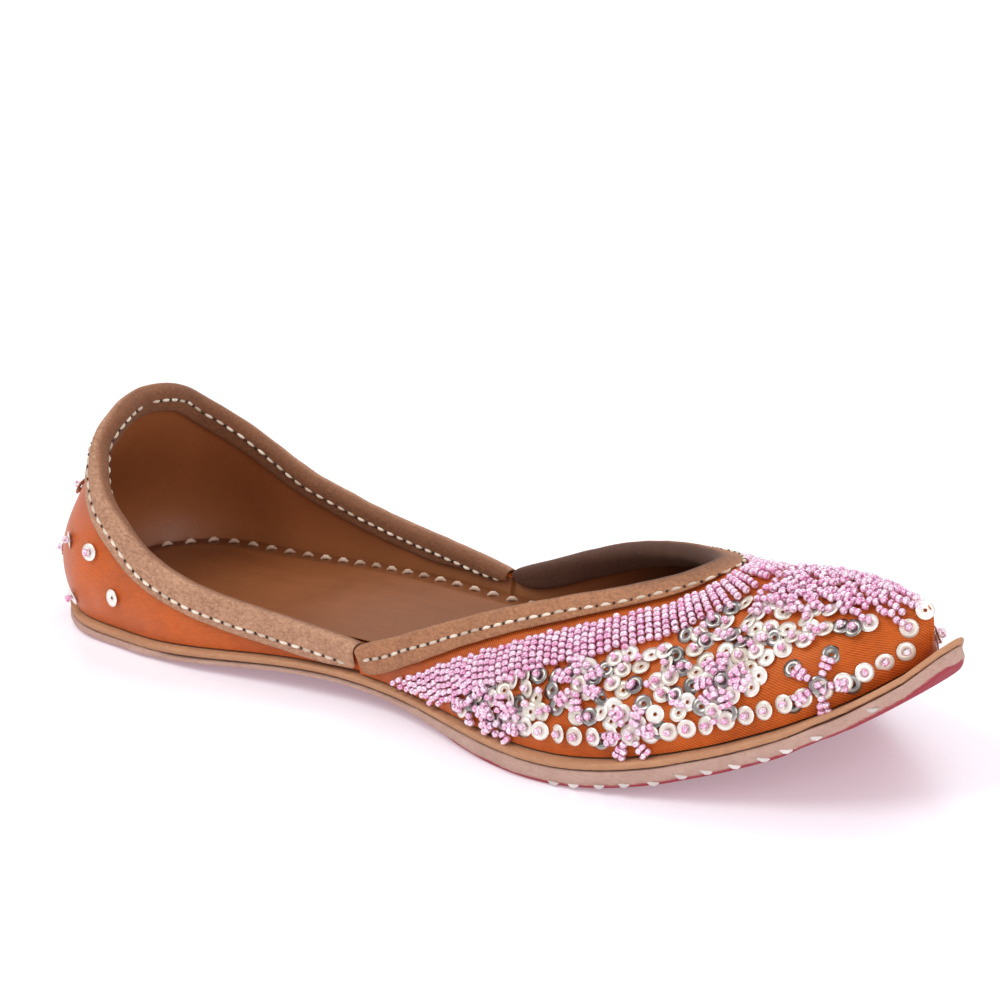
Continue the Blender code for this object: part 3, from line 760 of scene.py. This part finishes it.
class SHOE_OT_upper(bpy.types.Operator):
    """Cover the upper's solid with satin outside and leather inside"""
    bl_idname = "shoe.upper"
    bl_label = "Satin and lining"
    # How far off the middle line the creases' ends are looked for
    WALL = 0.045
    CREASES = (
        # side, start and end (along the shoe and above its sole), width, and how far out, in millimetres
        (-1, (-104, 8), (-92, 26), 4.5, -0.45),
        (-1, (-97, 6), (-84, 20), 4.0, 0.35),
        (-1, (-70, 5), (-46, 14), 4.5, -0.40),
        (-1, (-58, 12), (-36, 9), 3.5, 0.30),
        (-1, (-28, 3), (-12, 8), 3.5, -0.30),
        (-1, (96, 6), (108, 13), 4.0, -0.35),
        (-1, (104, 5), (114, 10), 3.5, 0.30),
        (1, (-100, 9), (-86, 24), 4.5, -0.40),
        (1, (-72, 14), (-50, 6), 4.5, -0.40),
        (1, (-40, 8), (-22, 6), 4.0, 0.30),
        (1, (94, 12), (110, 7), 4.0, -0.35),
    )

    def execute(self, context):
        cover = merged_copy("upper", "upper_cover", crease=1.0)
        DONE["rim"] = half_rim(cover)
        subdivide(cover, 2)
        self.crease(cover)
        self.lay_cloth(cover)
        self.part_sides(cover)
        smooth_by_angle(cover)
        placed(cover, (satin(), lining()), ("upper",))
        DONE["upper"] = Skin(cover)
        return {"FINISHED"}

    def crease(self, cover):
        """Presses soft troughs and ridges into the wall, both its faces together."""
        skin = Skin(cover)
        points = numbers(cover.data)
        moved = points.copy()
        for side, start, end, width, out in self.CREASES:
            first, last = (
                np.array(skin.nearest((x * MM, side * self.WALL, floor_of_upper(x * MM) + height * MM))[0])
                for x, height in (start, end))
            span = last - first
            share = np.clip((points - first) @ span / (span @ span), 0, 1)
            away = np.linalg.norm(points - first - share[:, None] * span, axis=1)
            press = out * MM * np.exp(-(away / (width * MM)) ** 2)
            moved += press[:, None] * np.array(outward_at(first + span / 2))
        set_numbers(cover.data, moved)

    def lay_cloth(self, cover):
        """Gives the cloth its map: metres along the foot, and metres up the wall."""
        line = foot_line(cover)
        run = run_of(line)
        points = numbers(cover.data)
        plan = np.stack([points[:, 0], np.abs(points[:, 1])], 1)
        starts = line[:-1]
        spans = np.diff(line, axis=0)
        share = np.einsum("pij,ij->pi", plan[:, None] - starts, spans) / (spans ** 2).sum(1)
        share = np.clip(share, 0, 1)
        gaps = np.linalg.norm(plan[:, None] - starts - share[..., None] * spans, axis=2)
        best = gaps.argmin(1)
        rows = np.arange(len(points))
        around = run[best] + share[rows, best] * np.diff(run)[best]
        sole = np.interp(points[:, 0], line[:, 0], [floor_of_upper(x) for x in line[:, 0]])
        up = np.hypot(points[:, 2] - sole, gaps[rows, best])
        layer = cover.data.uv_layers.new(name="cloth")
        corners = np.empty(len(cover.data.loops), int)
        cover.data.loops.foreach_get("vertex_index", corners)
        layer.data.foreach_set("uv", np.stack([around, up], 1)[corners].ravel())

    def part_sides(self, cover):
        """The wall's outer faces are satin and its inner ones leather."""
        for face in cover.data.polygons:
            middle = face.center
            inside_foot = Vector((min(max(middle.x, -0.095), 0.105), 0, floor_of_upper(middle.x)))
            face.material_index = 0 if face.normal.dot(middle - inside_foot) > 0 else 1


def half_outline(layer):
    """One side of a sole layer's outline seen from above, y above 0, from the back to the tip."""
    points = numbers(layer.data)
    points = points[points[:, 1] > -MERGE]
    hull = []
    for x in np.linspace(points[:, 0].min(), points[:, 0].max(), 120):
        near = points[np.abs(points[:, 0] - x) < 3 * MM]
        hull.append((x, near[:, 1].max() if len(near) else 0.0))
    return np.array(hull)


def shifted(line, depth):
    """A half outline moved into the foot by a depth, cut off where its two sides would cross."""
    ahead = np.gradient(line, axis=0)
    ahead /= np.linalg.norm(ahead, axis=1)[:, None]
    moved = line + np.stack([ahead[:, 1], -ahead[:, 0]], 1) * depth
    return moved[moved[:, 1] > 0.5 * MM]


def ruffled(layer, size, height):
    """Moves a layer's edge in and out softly, as hand-cut leather is, and leaves level faces level."""
    points = numbers(layer.data)
    normals = numbers(layer.data, "normal")
    steep = 0.7
    for i, point in enumerate(points):
        share = max(0.0, 1 - abs(normals[i, 2]) / steep)
        points[i, :2] += normals[i, :2] * noise.noise(Vector(point) / size) * height * share
    set_numbers(layer.data, points)


def set_rise(layer, closing):
    """Stores how far up its layer's edge each vertex lies, from 0 below to 1 on top.

    The top is raised by the closing, so that no light shows under the layer above.
    """
    skin = Skin(layer)
    points = numbers(layer.data)
    stations = np.linspace(points[:, 0].min() + MM, points[:, 0].max() - MM, 120)
    low = np.interp(points[:, 0], stations, [skin.hit((x, 0, BELOW), UP)[0].z for x in stations])
    high = np.interp(points[:, 0], stations, [skin.top(x)[0].z for x in stations])
    rise = ((points[:, 2] - low) / (high - low)).astype(np.float32)
    store(layer.data, "rise", rise)
    points[:, 2] += closing * ramp(rise.astype(float), 0.75, 0.95)
    set_numbers(layer.data, points)


def curled(layer, outline):
    """Lifts a sole layer's edge round the toe and waves it, as thin leather curls."""
    points = numbers(layer.data)
    x = points[:, 0]
    width = np.interp(x, outline[:, 0], outline[:, 1])
    edge = ramp(np.abs(points[:, 1]) / np.maximum(width, 2 * MM), 0.78, 1)
    edge = np.maximum(edge, ramp(x, *TIP))
    toward_tip = ramp(x, *CURL)
    wave = np.array([noise.noise(Vector((at / CURL_WAVE, np.sign(y) * 3, 0.5))) for at, y, _ in points])
    waving = 1 - ramp(x, *CURL_CALM)
    points[:, 2] += edge * (toward_tip ** 3 * CURL_RISE + toward_tip * wave * waving * CURL_WAVE_HEIGHT)
    set_numbers(layer.data, points)


class SHOE_OT_sole(bpy.types.Operator):
    """Cover the two sole layers with cut leather, red underneath"""
    bl_idname = "shoe.sole"
    bl_label = "Sole"
    LAYERS = (
        # solid, piece, size and height of its ruffles and closing in millimetres,
        # then its finish: name, tone, colour below and how far up that reaches
        ("outsole", "outsole_leather", 9, 0.7, 0.35, ("pale_cut_leather", "sole", "underside", 0.28)),
        ("midsole", "rand_leather", 11, 0.6, 0.0, ("tan_rand_leather", "rand", "insole_dark", 0.10)),
    )

    def execute(self, context):
        for node, name, size, height, closing, finish in self.LAYERS:
            layer = subdivide(merged_copy(node, name, SOLE_CREASE), 2)
            ruffled(layer, size * MM, height * MM)
            DONE.setdefault("sole outline", half_outline(layer))
            set_rise(layer, closing * MM)
            curled(layer, DONE["sole outline"])
            smooth_by_angle(layer)
            placed(layer, cut_leather(*finish), (node,))
            DONE[name] = Skin(layer)
        return {"FINISHED"}


def stitch_pattern(long, thick):
    """One stitch: a plump rod that dives into the leather at both ends."""
    bpy.ops.mesh.primitive_cylinder_add(
        vertices=8, radius=thick / 2, depth=long, rotation=(0, math.pi / 2, 0))
    bpy.ops.object.transform_apply(location=True, rotation=True, scale=True)
    made = edit(bpy.context.object, lambda: bpy.ops.mesh.subdivide(number_cuts=2))
    points = numbers(made.data)
    share = np.abs(points[:, 0]) / (long / 2)
    slim = np.sqrt(np.clip(1 - share ** 3 * 0.75, 0, 1))
    points[:, 1] *= slim
    points[:, 2] = points[:, 2] * slim - thick * 0.45 * share ** 2
    set_numbers(made.data, points)
    return made


class SHOE_OT_sole_stitches(bpy.types.Operator):
    """Sew the white stitches round the red underside"""
    bl_idname = "shoe.sole_stitches"
    bl_label = "Sole stitches"
    INSET = 1.2 * MM
    LONG = 3.0 * MM
    THICK = 1.0 * MM
    BALL = 45 * MM
    FURTHER_IN = 2.4 * MM
    THREAD = ((0.80, 0.76, 0.72), (0.50, 0.42, 0.40))

    def execute(self, context):
        skin = DONE["outsole_leather"]
        line = shifted(half_outline(bpy.data.objects["outsole_leather"]), self.INSET)
        run = run_of(line)
        pitch = sizes().sole_stitch
        dice = random.Random(11)
        places = []
        tones = []
        for distance in np.arange(pitch / 2, run[-1], pitch):
            x, y = (np.interp(distance + dice.uniform(-0.5, 0.5) * MM, run, line[:, k]) for k in (0, 1))
            ahead = on_line(line, run, distance + MM) - (x, y)
            for side in SIDES:
                out = Vector((-ahead[1], ahead[0] * side, 0)).normalized()
                start = Vector((x, y * side, BELOW)) - out * (0 if x > self.BALL else self.FURTHER_IN)
                below, normal = skin.hit(start, UP)
                if below is None:
                    continue
                sunk = 0.45 * MM
                if x > self.BALL:
                    # Past the ball the stitches come up to the edge
                    below, _ = skin.nearest(below + out * self.INSET * 2)
                    below.z -= min(0.45 * MM, below.z)
                    normal = out - UP * 2.2
                    sunk = 0.15 * MM + max(0.5 * MM - below.z, 0)
                places.append(frame_at(below, normal, (ahead[0], ahead[1] * side, 0), -sunk))
                tones.append(dice.random())
        pattern = stitch_pattern(self.LONG, self.THICK)
        sewn("sole_stitches", pattern, places, tones, thread("white_sole_thread", *self.THREAD))
        return {"FINISHED"}


class SHOE_OT_bindings(bpy.types.Operator):
    """Fold suede over the collar and over the vamp's edge"""
    bl_idname = "shoe.bindings"
    bl_label = "Bindings"
    BINDINGS = (
        # solid, piece, finish and its tones
        ("quarter_binding", "collar_binding", "collar_suede", "binding"),
        ("vamp_binding", "throat_binding", "throat_suede", "throat"),
    )

    def execute(self, context):
        for node, name, finish, tone in self.BINDINGS:
            cover = subdivide(merged_copy(node, name), 2)
            points = numbers(cover.data)
            # How far each vertex faces into the shoe, where the suede turns darker: painted shade on the
            # vamp's binding
            inner = []
            for i, vert in enumerate(cover.data.vertices):
                inner.append(min(max(0.55 - 1.8 * vert.normal.dot(outward_at(vert.co)), 0), 1))
                points[i] += np.array(vert.normal) * noise.noise(vert.co / (5 * MM)) * 0.14 * MM
            store(cover.data, "inner", inner)
            set_numbers(cover.data, points)
            cover.data.shade_smooth()
            placed(cover, suede(finish, tone), (node,))
            DONE[node] = Skin(cover)
        return {"FINISHED"}


class SHOE_OT_insole(bpy.types.Operator):
    """Lay the insole, its raised sock and the white stitches round it"""
    bl_idname = "shoe.insole"
    bl_label = "Insole"
    # Of the sock: its thickness, and how much its edge curls up
    THICK = 0.5 * MM
    LIP = 0.35 * MM
    # Of a stitch: length, width and lift, and where its line lies as a share of the sock's inset
    STITCH = (2.7 * MM, 1.15 * MM)
    LIFT = 0.55 * MM
    LINE = 0.52
    THREAD = ((0.72, 0.52, 0.40), (0.36, 0.21, 0.13))

    def execute(self, context):
        cover = subdivide(merged_copy("insole", "insole_cover", crease=0.9), 1)
        cover.data.shade_smooth()
        placed(cover, insole_leather("insole_leather"), ("insole",))
        outline = half_outline(cover)
        skin = Skin(cover)
        self.make_sock(skin, shifted(outline, sizes().sock_inset))
        self.sew(skin, shifted(outline, sizes().sock_inset * self.LINE))
        return {"FINISHED"}

    def make_sock(self, skin, line):
        back, tip = line[0, 0], line[-1, 0]
        bpy.ops.mesh.primitive_grid_add(x_subdivisions=90, y_subdivisions=14, size=1)
        sock = added("sock")
        points = numbers(sock.data)
        x = back + (points[:, 0] + 0.5) * (tip - back)
        y = points[:, 1] * 2 * np.interp(x, line[:, 0], line[:, 1])
        z = np.array([skin.top(at)[0].z for at in x])
        lip = self.LIP * ramp(np.abs(points[:, 1] * 2), 0.86, 1) ** 2
        set_numbers(sock.data, np.stack([x, y, z + 0.05 * MM + lip], 1))
        apply_modifier(sock, "SOLIDIFY", thickness=self.THICK, offset=1.0)
        subdivide(sock, 1)
        sock.data.shade_smooth()
        placed(sock, insole_leather("sock_leather"))

    def sew(self, skin, line):
        run = run_of(line)
        dice = random.Random(5)
        places = []
        tones = []
        for distance in np.arange(3 * MM, run[-1], sizes().insole_stitch):
            x, y = on_line(line, run, distance)
            ahead = on_line(line, run, distance + MM) - (x, y)
            for side in SIDES:
                place, normal = skin.top(x, y * side)
                if place is None:
                    continue
                heading = (ahead[0], (ahead[1] + dice.uniform(0.2, 0.7) * MM) * side, 0)
                places.append(frame_at(place, normal, heading, self.LIFT))
                tones.append(dice.random())
        pattern = stitch_pattern(*self.STITCH)
        sewn("insole_stitches", pattern, places, tones, thread("insole_thread", *self.THREAD))


class SHOE_OT_binding_stitches(bpy.types.Operator):
    """Sew the light stitches along the bindings, with the painted shade of a needle hole between each pair"""
    bl_idname = "shoe.binding_stitches"
    bl_label = "Binding stitches"
    LINES = (
        # binding, side of the wall, first and last distance below its shoulder
        ("quarter_binding", 1, 1.6 * MM, 4.4 * MM),
        ("quarter_binding", -1, 3.4 * MM, 3.4 * MM),
        ("vamp_binding", 1, 2.8 * MM, 2.8 * MM),
    )
    # How far out of the rim and above it a binding's shoulder lies
    SHOULDER = (3 * MM, 1.5 * MM)
    FROM_JUNCTION = 2 * MM
    THICK = 0.78 * MM
    ROWS = (
        # piece, length, lift, and its thread's name, light and dark tones
        ("binding_thread", 2.5 * MM, 0.10 * MM, "cream_thread", (0.92, 0.83, 0.68), (0.42, 0.30, 0.20)),
        # Painted shade: a dark rod stands for the shade in each needle hole
        ("needle_holes", 1.0 * MM, 0.0, "needle_holes", (0.05, 0.02, 0.015), (0.02, 0.008, 0.006)),
    )

    def execute(self, context):
        spots = ([], [])
        rim = DONE["rim"]
        end = run_of(rim)[-1]
        junction = junction_of(rim)
        pitch = sizes().stitch
        for node, wall_side, first, last in self.LINES:
            low, high = junction + self.FROM_JUNCTION, end
            if node == "quarter_binding":
                low, high = 0, junction - self.FROM_JUNCTION
            distances = np.arange(low + pitch / 2, high, pitch / 2)
            starts, _ = along(rim, distances)
            for side in SIDES:
                row = []
                for start, distance in zip(starts, distances):
                    edge = Vector(start) * Vector((1, side, 1))
                    outward = outward_at(edge) * wall_side
                    shoulder = edge + outward * self.SHOULDER[0] + UP * self.SHOULDER[1]
                    share = (distance - low) / (high - low)
                    reach = first + (last - first) * min(share * 2.2, 1)
                    row.append(DONE[node].walk(shoulder, outward * 0.5 - UP, [reach])[0])
                for i in range(1, len(row) - 1):
                    place, normal, _ = row[i]
                    spots[1 - i % 2].append((place, normal, row[i + 1][0] - row[i - 1][0]))
        dice = random.Random(3)
        for kept, (name, long, lift, *paint) in zip(spots, self.ROWS):
            places = [frame_at(*spot, lift) for spot in kept]
            tones = [dice.random() for _ in kept]
            sewn(name, stitch_pattern(long, self.THICK), places, tones, thread(*paint))
        return {"FINISHED"}


def junction_of(rim):
    """How far along the rim the vamp's binding starts."""
    return np.interp(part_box("vamp_binding")[0].x, rim[:, 0], run_of(rim))


def bead_pattern():
    """A seed bead: a plump ring threaded along X."""
    size = sizes().bead
    tube = size * 0.2
    bpy.ops.mesh.primitive_torus_add(
        major_radius=size / 2 - tube, minor_radius=tube, major_segments=10, minor_segments=6,
        rotation=(0, math.pi / 2, 0))
    bpy.ops.object.transform_apply(location=True, rotation=True, scale=True)
    return edit(bpy.context.object, lambda: bpy.ops.transform.resize(value=(1.75, 1, 1)))


def sequin_pattern():
    """A cupped sequin: a flat rim round a shallow dish with the thread's hole."""
    bpy.ops.mesh.primitive_circle_add(vertices=16, radius=sizes().sequin / 2)
    made = edit(
        bpy.context.object,
        bpy.ops.mesh.extrude_edges_move,
        lambda: bpy.ops.transform.resize(value=(0.62, 0.62, 1)),
        bpy.ops.mesh.extrude_edges_move,
        lambda: bpy.ops.transform.resize(value=(0.32, 0.32, 1)),
        lambda: bpy.ops.transform.translate(value=(0, 0, -0.10 * MM)),
    )
    apply_modifier(made, "SOLIDIFY", thickness=0.09 * MM, offset=0.0)
    return edit(made, lambda: bpy.ops.mesh.normals_make_consistent(inside=False))


class Work:
    """Places sewn so far: seed beads, and pearl and silver sequins."""
    # Each kind's pieces are named for it, and made from its pattern
    KINDS = {
        "beads": ("beads", bead_pattern),
        "pearl": ("pearl_sequins", sequin_pattern),
        "silver": ("silver_sequins", sequin_pattern),
    }

    def __init__(self, seed):
        self.dice = random.Random(seed)
        self.places = {kind: [] for kind in self.KINDS}
        self.tones = {kind: [] for kind in self.KINDS}

    def put(self, kind, matrix, normal):
        """Keeps a copy's place, unless the surface there faces into the shoe."""
        if normal.dot(outward_at(matrix.translation) + UP * 0.5) > 0:
            self.places[kind].append(matrix)
            self.tones[kind].append(self.dice.random())

    def any_way(self):
        return Vector([self.dice.gauss(0, 1) for _ in range(3)])

    def bead(self, place, normal, heading, lift=0.0):
        """A bead threaded along the heading, a little askew."""
        matrix = frame_at(place, normal, heading, sizes().bead * 0.46 + lift)
        matrix = turned(matrix, self.dice.gauss(0, 0.16), "Z")
        self.put("beads", turned(matrix, self.dice.gauss(0, 0.12), "Y"), normal)

    def sequin(self, kind, place, normal, lift=0.5 * MM, tilt=0.16):
        matrix = frame_at(place, normal, (1, 0.3, 0.2), lift)
        matrix = turned(matrix, self.dice.gauss(0, tilt), "X")
        self.put(kind, turned(matrix, self.dice.gauss(0, tilt), "Y"), normal)

    def sequin_with_bead(self, kind, place, normal):
        lift = self.dice.uniform(0.35, 0.9) * MM
        self.sequin(kind, place, normal, lift)
        self.bead(place, normal, self.any_way(), lift + 0.1 * MM)

    def petal(self, start, heading, first, end, count=3):
        """Beads threaded away from a start, two abreast past the first, over a sequin at the far end."""
        size = sizes().bead
        reach = [first + i * size * BEAD_PITCH for i in range(count)]
        found = DONE["upper"].walk(start, heading, reach + [reach[-1] + sizes().sequin * 0.35])
        place, normal, _ = found.pop()
        for i, (spot, facing, ahead) in enumerate(found):
            aside = facing.cross(ahead) * size * (0.24 + 0.08 * i)
            for bead in (spot + aside, spot - aside) if i else (spot,):
                self.bead(bead, facing, ahead, 0.3 * MM)
        self.sequin(end, place, normal, 0.35 * MM)
        return place

    def make(self, where, replaces=()):
        """Joins what was placed into one piece for each kind."""
        for kind, (ending, pattern) in self.KINDS.items():
            if self.places[kind]:
                sewn(f"{where}_{ending}", pattern(), self.places[kind], self.tones[kind],
                     DONE["paints"][kind], replaces)


class SHOE_OT_bead_band(bpy.types.Operator):
    """Sew the raised band of beads below the vamp's edge, row by row"""
    bl_idname = "shoe.bead_band"
    bl_label = "Bead band"
    REAR_START = 7.6 * MM
    THROAT_START = 6.4 * MM
    ROWS = 6
    ROW_PITCH = 1.75 * MM
    ABOVE_SOLE = 1.6 * MM
    CROWN = 0.45 * MM
    TRY_EVERY = 0.25 * MM

    def execute(self, context):
        DONE["paints"] = {
            "beads": glass(),
            "pearl": foil("pearl_foil", "pearl", 0.3),
            "silver": foil("dark_silver_foil", "silver", 0.9),
        }
        work = Work(21)
        dice = work.dice
        skin = DONE["upper"]
        rim = DONE["rim"]
        pitch = sizes().bead * BEAD_PITCH
        distances = np.arange(run_of(rim)[-1], junction_of(rim), -self.TRY_EVERY)
        starts, headings = along(rim, distances)
        for side in SIDES:
            last = None
            mirror = Vector((1, side, 1))
            seats = []
            downs = []
            for start, ahead in zip(starts, headings):
                place = Vector(start) * mirror
                seats.append(place + outward_at(place) * 2 * MM - UP * MM)
                _, normal = skin.nearest(seats[-1])
                downs.append(normal.cross(Vector(ahead) * mirror) * side)
            for i, (seat, down) in enumerate(zip(seats, evened(np.array(downs), 12))):
                share = i / len(starts)
                first = self.THROAT_START + (self.REAR_START - self.THROAT_START) * min(2 * share, 1)
                row = skin.walk(seat, down, [first + k * pitch for k in range(self.ROWS)])
                middle = row[self.ROWS // 2][0]
                if last is not None and (middle - last).length < self.ROW_PITCH:
                    continue
                last = middle
                slip = dice.gauss(0, 0.3) * MM
                for k, (spot, facing, heading) in enumerate(row):
                    if spot.z < floor_of_upper(spot.x) + self.ABOVE_SOLE:
                        break
                    lift = self.CROWN * math.sin(math.pi * (k + 0.5) / self.ROWS)
                    work.bead(spot + heading * slip, facing, heading, lift + dice.uniform(-0.2, 0.25) * MM)
        work.make("band", ("bead_band",))
        return {"FINISHED"}


def on_vamp(x, angle, side):
    """The place over the vamp at x, seen from the sole's middle line at an angle above level."""
    outward = Vector((0, math.cos(angle) * side, math.sin(angle)))
    middle = Vector((x, 0, floor_of_upper(x)))
    return DONE["upper"].hit(middle + outward * 0.12, -outward)


class SHOE_OT_motifs(bpy.types.Operator):
    """Sew the vamp's flowers, its fan over the toe, the border and the sequins between them"""
    bl_idname = "shoe.motifs"
    bl_label = "Flowers, fan and sequins"
    FLOWERS = (
        # place along the shoe in millimetres, angle above the sole in degrees, petals, turn in degrees
        (51, 24, 6, 10),
        (66, 9, 6, 40),
        (32, 6, 7, 0),
        (22, 9, 5, 20),
        (84, 28, 7, 5),
        (105, 19, 5, 60),
    )
    PETAL_FIRST = 2.6 * MM
    FAN_BACK = 84 * MM
    FAN_LENGTH = 36 * MM
    FAN_WIDTH = 12.5 * MM
    FAN_SPREAD = math.pi * 1.12
    FAN_RAYS = 46
    BORDER_BACK = 40 * MM
    BORDER_HEIGHT = 5.0 * MM
    # Of the scattered sequins: their spacing, their least distance from the rim, and the throws
    SPACING = 3.25 * MM
    FROM_RIM = 17.6 * MM
    TRIES = 16000
    TOE_BARE = 92 * MM

    def execute(self, context):
        self.work = Work(8)
        self.taken = []
        for x, angle, petals, turn in self.FLOWERS:
            for side in SIDES:
                place, normal = on_vamp(x * MM, math.radians(angle), side)
                self.make_flower(place, normal, petals, math.radians(turn) * side)
        self.make_fan()
        self.make_border()
        self.scatter()
        self.work.make("vamp")
        return {"FINISHED"}

    def take(self, place):
        self.taken.append(tuple(place))

    def make_flower(self, place, normal, petals, turn):
        level = level_with(normal, (1, 0, 0))
        across = normal.cross(level)
        self.work.sequin_with_bead("silver" if petals % 2 else "pearl", place, normal)
        self.take(place)
        for i in range(petals):
            angle = turn + i * math.tau / petals + self.work.dice.gauss(0, 0.08)
            heading = level * math.cos(angle) + across * math.sin(angle)
            end = "silver" if self.work.dice.random() < 0.7 else "pearl"
            self.take(self.work.petal(place, heading, self.PETAL_FIRST, end))

    def make_fan(self):
        """Ragged rows of beads fanning from the throat over the toe, sequins showing at their ends."""
        dice = self.work.dice
        place, _ = DONE["upper"].top(self.FAN_BACK)
        size = sizes().bead
        for i in range(self.FAN_RAYS):
            angle = self.FAN_SPREAD * ((i + 0.5) / self.FAN_RAYS - 0.5)
            reach = self.FAN_LENGTH * self.FAN_WIDTH / math.hypot(
                self.FAN_WIDTH * math.cos(angle), self.FAN_LENGTH * math.sin(angle))
            reach *= dice.uniform(0.84, 1.10)
            heading = (math.cos(angle), math.sin(angle), 0)
            distances = np.arange(MM, max(reach, 3 * MM), size * 0.8)
            for k, (spot, facing, ahead) in enumerate(DONE["upper"].walk(place, heading, distances)):
                if spot.x > TOE - 8 * MM:
                    break
                # Nearer the middle fewer rays carry a bead, so that beads stay apart
                room = distances[k] * self.FAN_SPREAD / self.FAN_RAYS
                if (i * room) % (size * 0.88) < room:
                    aside = facing.cross(ahead) * dice.gauss(0, 0.3) * MM
                    self.work.bead(spot + aside, facing, ahead + aside / MM, dice.uniform(0, 1.1) * MM)
                    self.take(spot)
            if i % 2 == 0:
                self.work.sequin("pearl", spot, facing, tilt=0.3)
                self.take(spot)

    def make_border(self):
        pitch = sizes().sequin * 1.02
        for side in SIDES:
            last = None
            for x in np.arange(self.BORDER_BACK, TOE - 9 * MM, 0.4 * MM):
                height = floor_of_upper(x) + self.BORDER_HEIGHT
                place, normal = DONE["upper"].hit((x, side * 0.1, height), (0, -side, 0))
                if place is None or (last is not None and (place - last).length < pitch):
                    continue
                last = place
                self.work.sequin_with_bead("pearl", place, normal)
                self.take(place)

    def scatter(self):
        """Sequins thrown over what is left, none nearer another than the spacing."""
        work = self.work
        dice = work.dice
        taken = np.array(self.taken)
        for _ in range(self.TRIES):
            x = dice.uniform(6, 112) * MM
            angle = dice.uniform(0, 1.45)
            place, normal = on_vamp(x, angle, dice.choice(SIDES))
            if place is None or place.z < floor_of_upper(x) + 2.6 * MM:
                continue
            spot = np.array(place)
            from_rim = np.linalg.norm(DONE["rim"] - np.abs(spot) * (np.sign(spot[0]), 1, 1), axis=1).min()
            bare_toe = x > self.TOE_BARE and angle < 0.72 + (x - self.TOE_BARE) * 12
            if bare_toe or from_rim < self.FROM_RIM:
                continue
            if np.linalg.norm(taken - spot, axis=1).min() < self.SPACING * dice.uniform(0.8, 1.1):
                continue
            taken = np.concatenate([taken, spot[None]])
            kind = "silver" if dice.random() < 0.2 else "pearl"
            sew = work.sequin_with_bead if dice.random() < 0.66 else work.sequin
            sew(kind, place, normal)
            if dice.random() < 0.3:
                aside = work.any_way().cross(normal)
                beside, facing = DONE["upper"].nearest(place + aside.normalized() * 1.9 * MM)
                work.bead(beside, facing, aside, 0.6 * MM)


class SHOE_OT_heel_motif(bpy.types.Operator):
    """Sew the eight-petalled flower behind the heel and the sequins round it"""
    bl_idname = "shoe.heel_motif"
    bl_label = "Heel flower"
    FLOWER_HEIGHT = 23.5 * MM
    PETAL_FIRST = 2.7 * MM
    PETALS = 8
    BEHIND = (
        # millimetres round the heel and above the flower's middle
        (-14.6, 5.1), (16.8, 6.0), (-15.6, -15.0), (14.9, -15.0),
    )
    BESIDE = (
        # place on either side in millimetres, and if it carries a bead
        (-111.7, 25.2, 21.6, True),
        (-100.9, 29.0, 21.9, True),
        (-110.2, 27.2, 8.5, True),
        (-92.7, 31.0, 12.9, False),
    )

    def execute(self, context):
        work = Work(4)
        skin = DONE["upper"]
        height = floor_of_upper(-0.1) + self.FLOWER_HEIGHT
        back, normal = skin.hit((-0.3, 0, height), (1, 0, 0))
        work.sequin_with_bead("silver", back, normal)
        for i in range(self.PETALS):
            angle = (i + 0.5) * math.tau / self.PETALS
            work.petal(back, (0, math.cos(angle), math.sin(angle)), self.PETAL_FIRST, "silver")
        for around, above in self.BEHIND:
            place = skin.walk(back, (0, 0, math.copysign(1, above)), [abs(above) * MM])[0][0]
            place, normal, _ = skin.walk(place, (0, math.copysign(1, around), 0), [abs(around) * MM])[0]
            work.sequin_with_bead("pearl", place, normal)
        for x, y, z, beaded in self.BESIDE:
            for side in SIDES:
                place, normal = skin.nearest(Vector((x, y * side, z)) * MM)
                (work.sequin_with_bead if beaded else work.sequin)("pearl", place, normal)
        work.make("heel")
        return {"FINISHED"}


PIECES = (
    # operators in the order of making
    "shoe.stage", "shoe.sole", "shoe.upper", "shoe.insole", "shoe.bindings", "shoe.sole_stitches",
    "shoe.binding_stitches", "shoe.bead_band", "shoe.motifs", "shoe.heel_motif",
)


class SHOE_PT_panel(bpy.types.Panel):
    """Lists the sizes, the colours and every step of the making"""
    bl_label = "Beaded slip-on"
    bl_idname = "SHOE_PT_panel"
    bl_space_type = "VIEW_3D"
    bl_region_type = "UI"
    bl_category = "Shoe"

    def draw(self, context):
        for group, kept in ((ShoeSizes, sizes()), (ShoeColours, colours())):
            for name in group.__annotations__:
                self.layout.prop(kept, name)
        for name in PIECES:
            self.layout.operator(name)


CLASSES = (
    ShoeSizes, ShoeColours, SHOE_OT_stage, SHOE_OT_sole, SHOE_OT_upper, SHOE_OT_insole, SHOE_OT_bindings,
    SHOE_OT_sole_stitches, SHOE_OT_binding_stitches, SHOE_OT_bead_band, SHOE_OT_motifs,
    SHOE_OT_heel_motif, SHOE_PT_panel,
)


def register():
    for made in CLASSES:
        bpy.utils.register_class(made)
    bpy.types.Scene.shoe_sizes = bpy.props.PointerProperty(type=ShoeSizes)
    bpy.types.Scene.shoe_colours = bpy.props.PointerProperty(type=ShoeColours)


def unregister():
    del bpy.types.Scene.shoe_colours
    del bpy.types.Scene.shoe_sizes
    for made in reversed(CLASSES):
        bpy.utils.unregister_class(made)


def corners(box):
    return [list(corner) for corner in box]


def main():
    register()
    DONE["midsole"] = Skin(frame["nodes"]["midsole"])
    for name in PIECES:
        group, step = name.split(".")
        getattr(getattr(bpy.ops, group), step)()
    {"cad": corners(CAD_BOX), "visual": corners(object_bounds())}


if __name__ == "__main__":
    main()
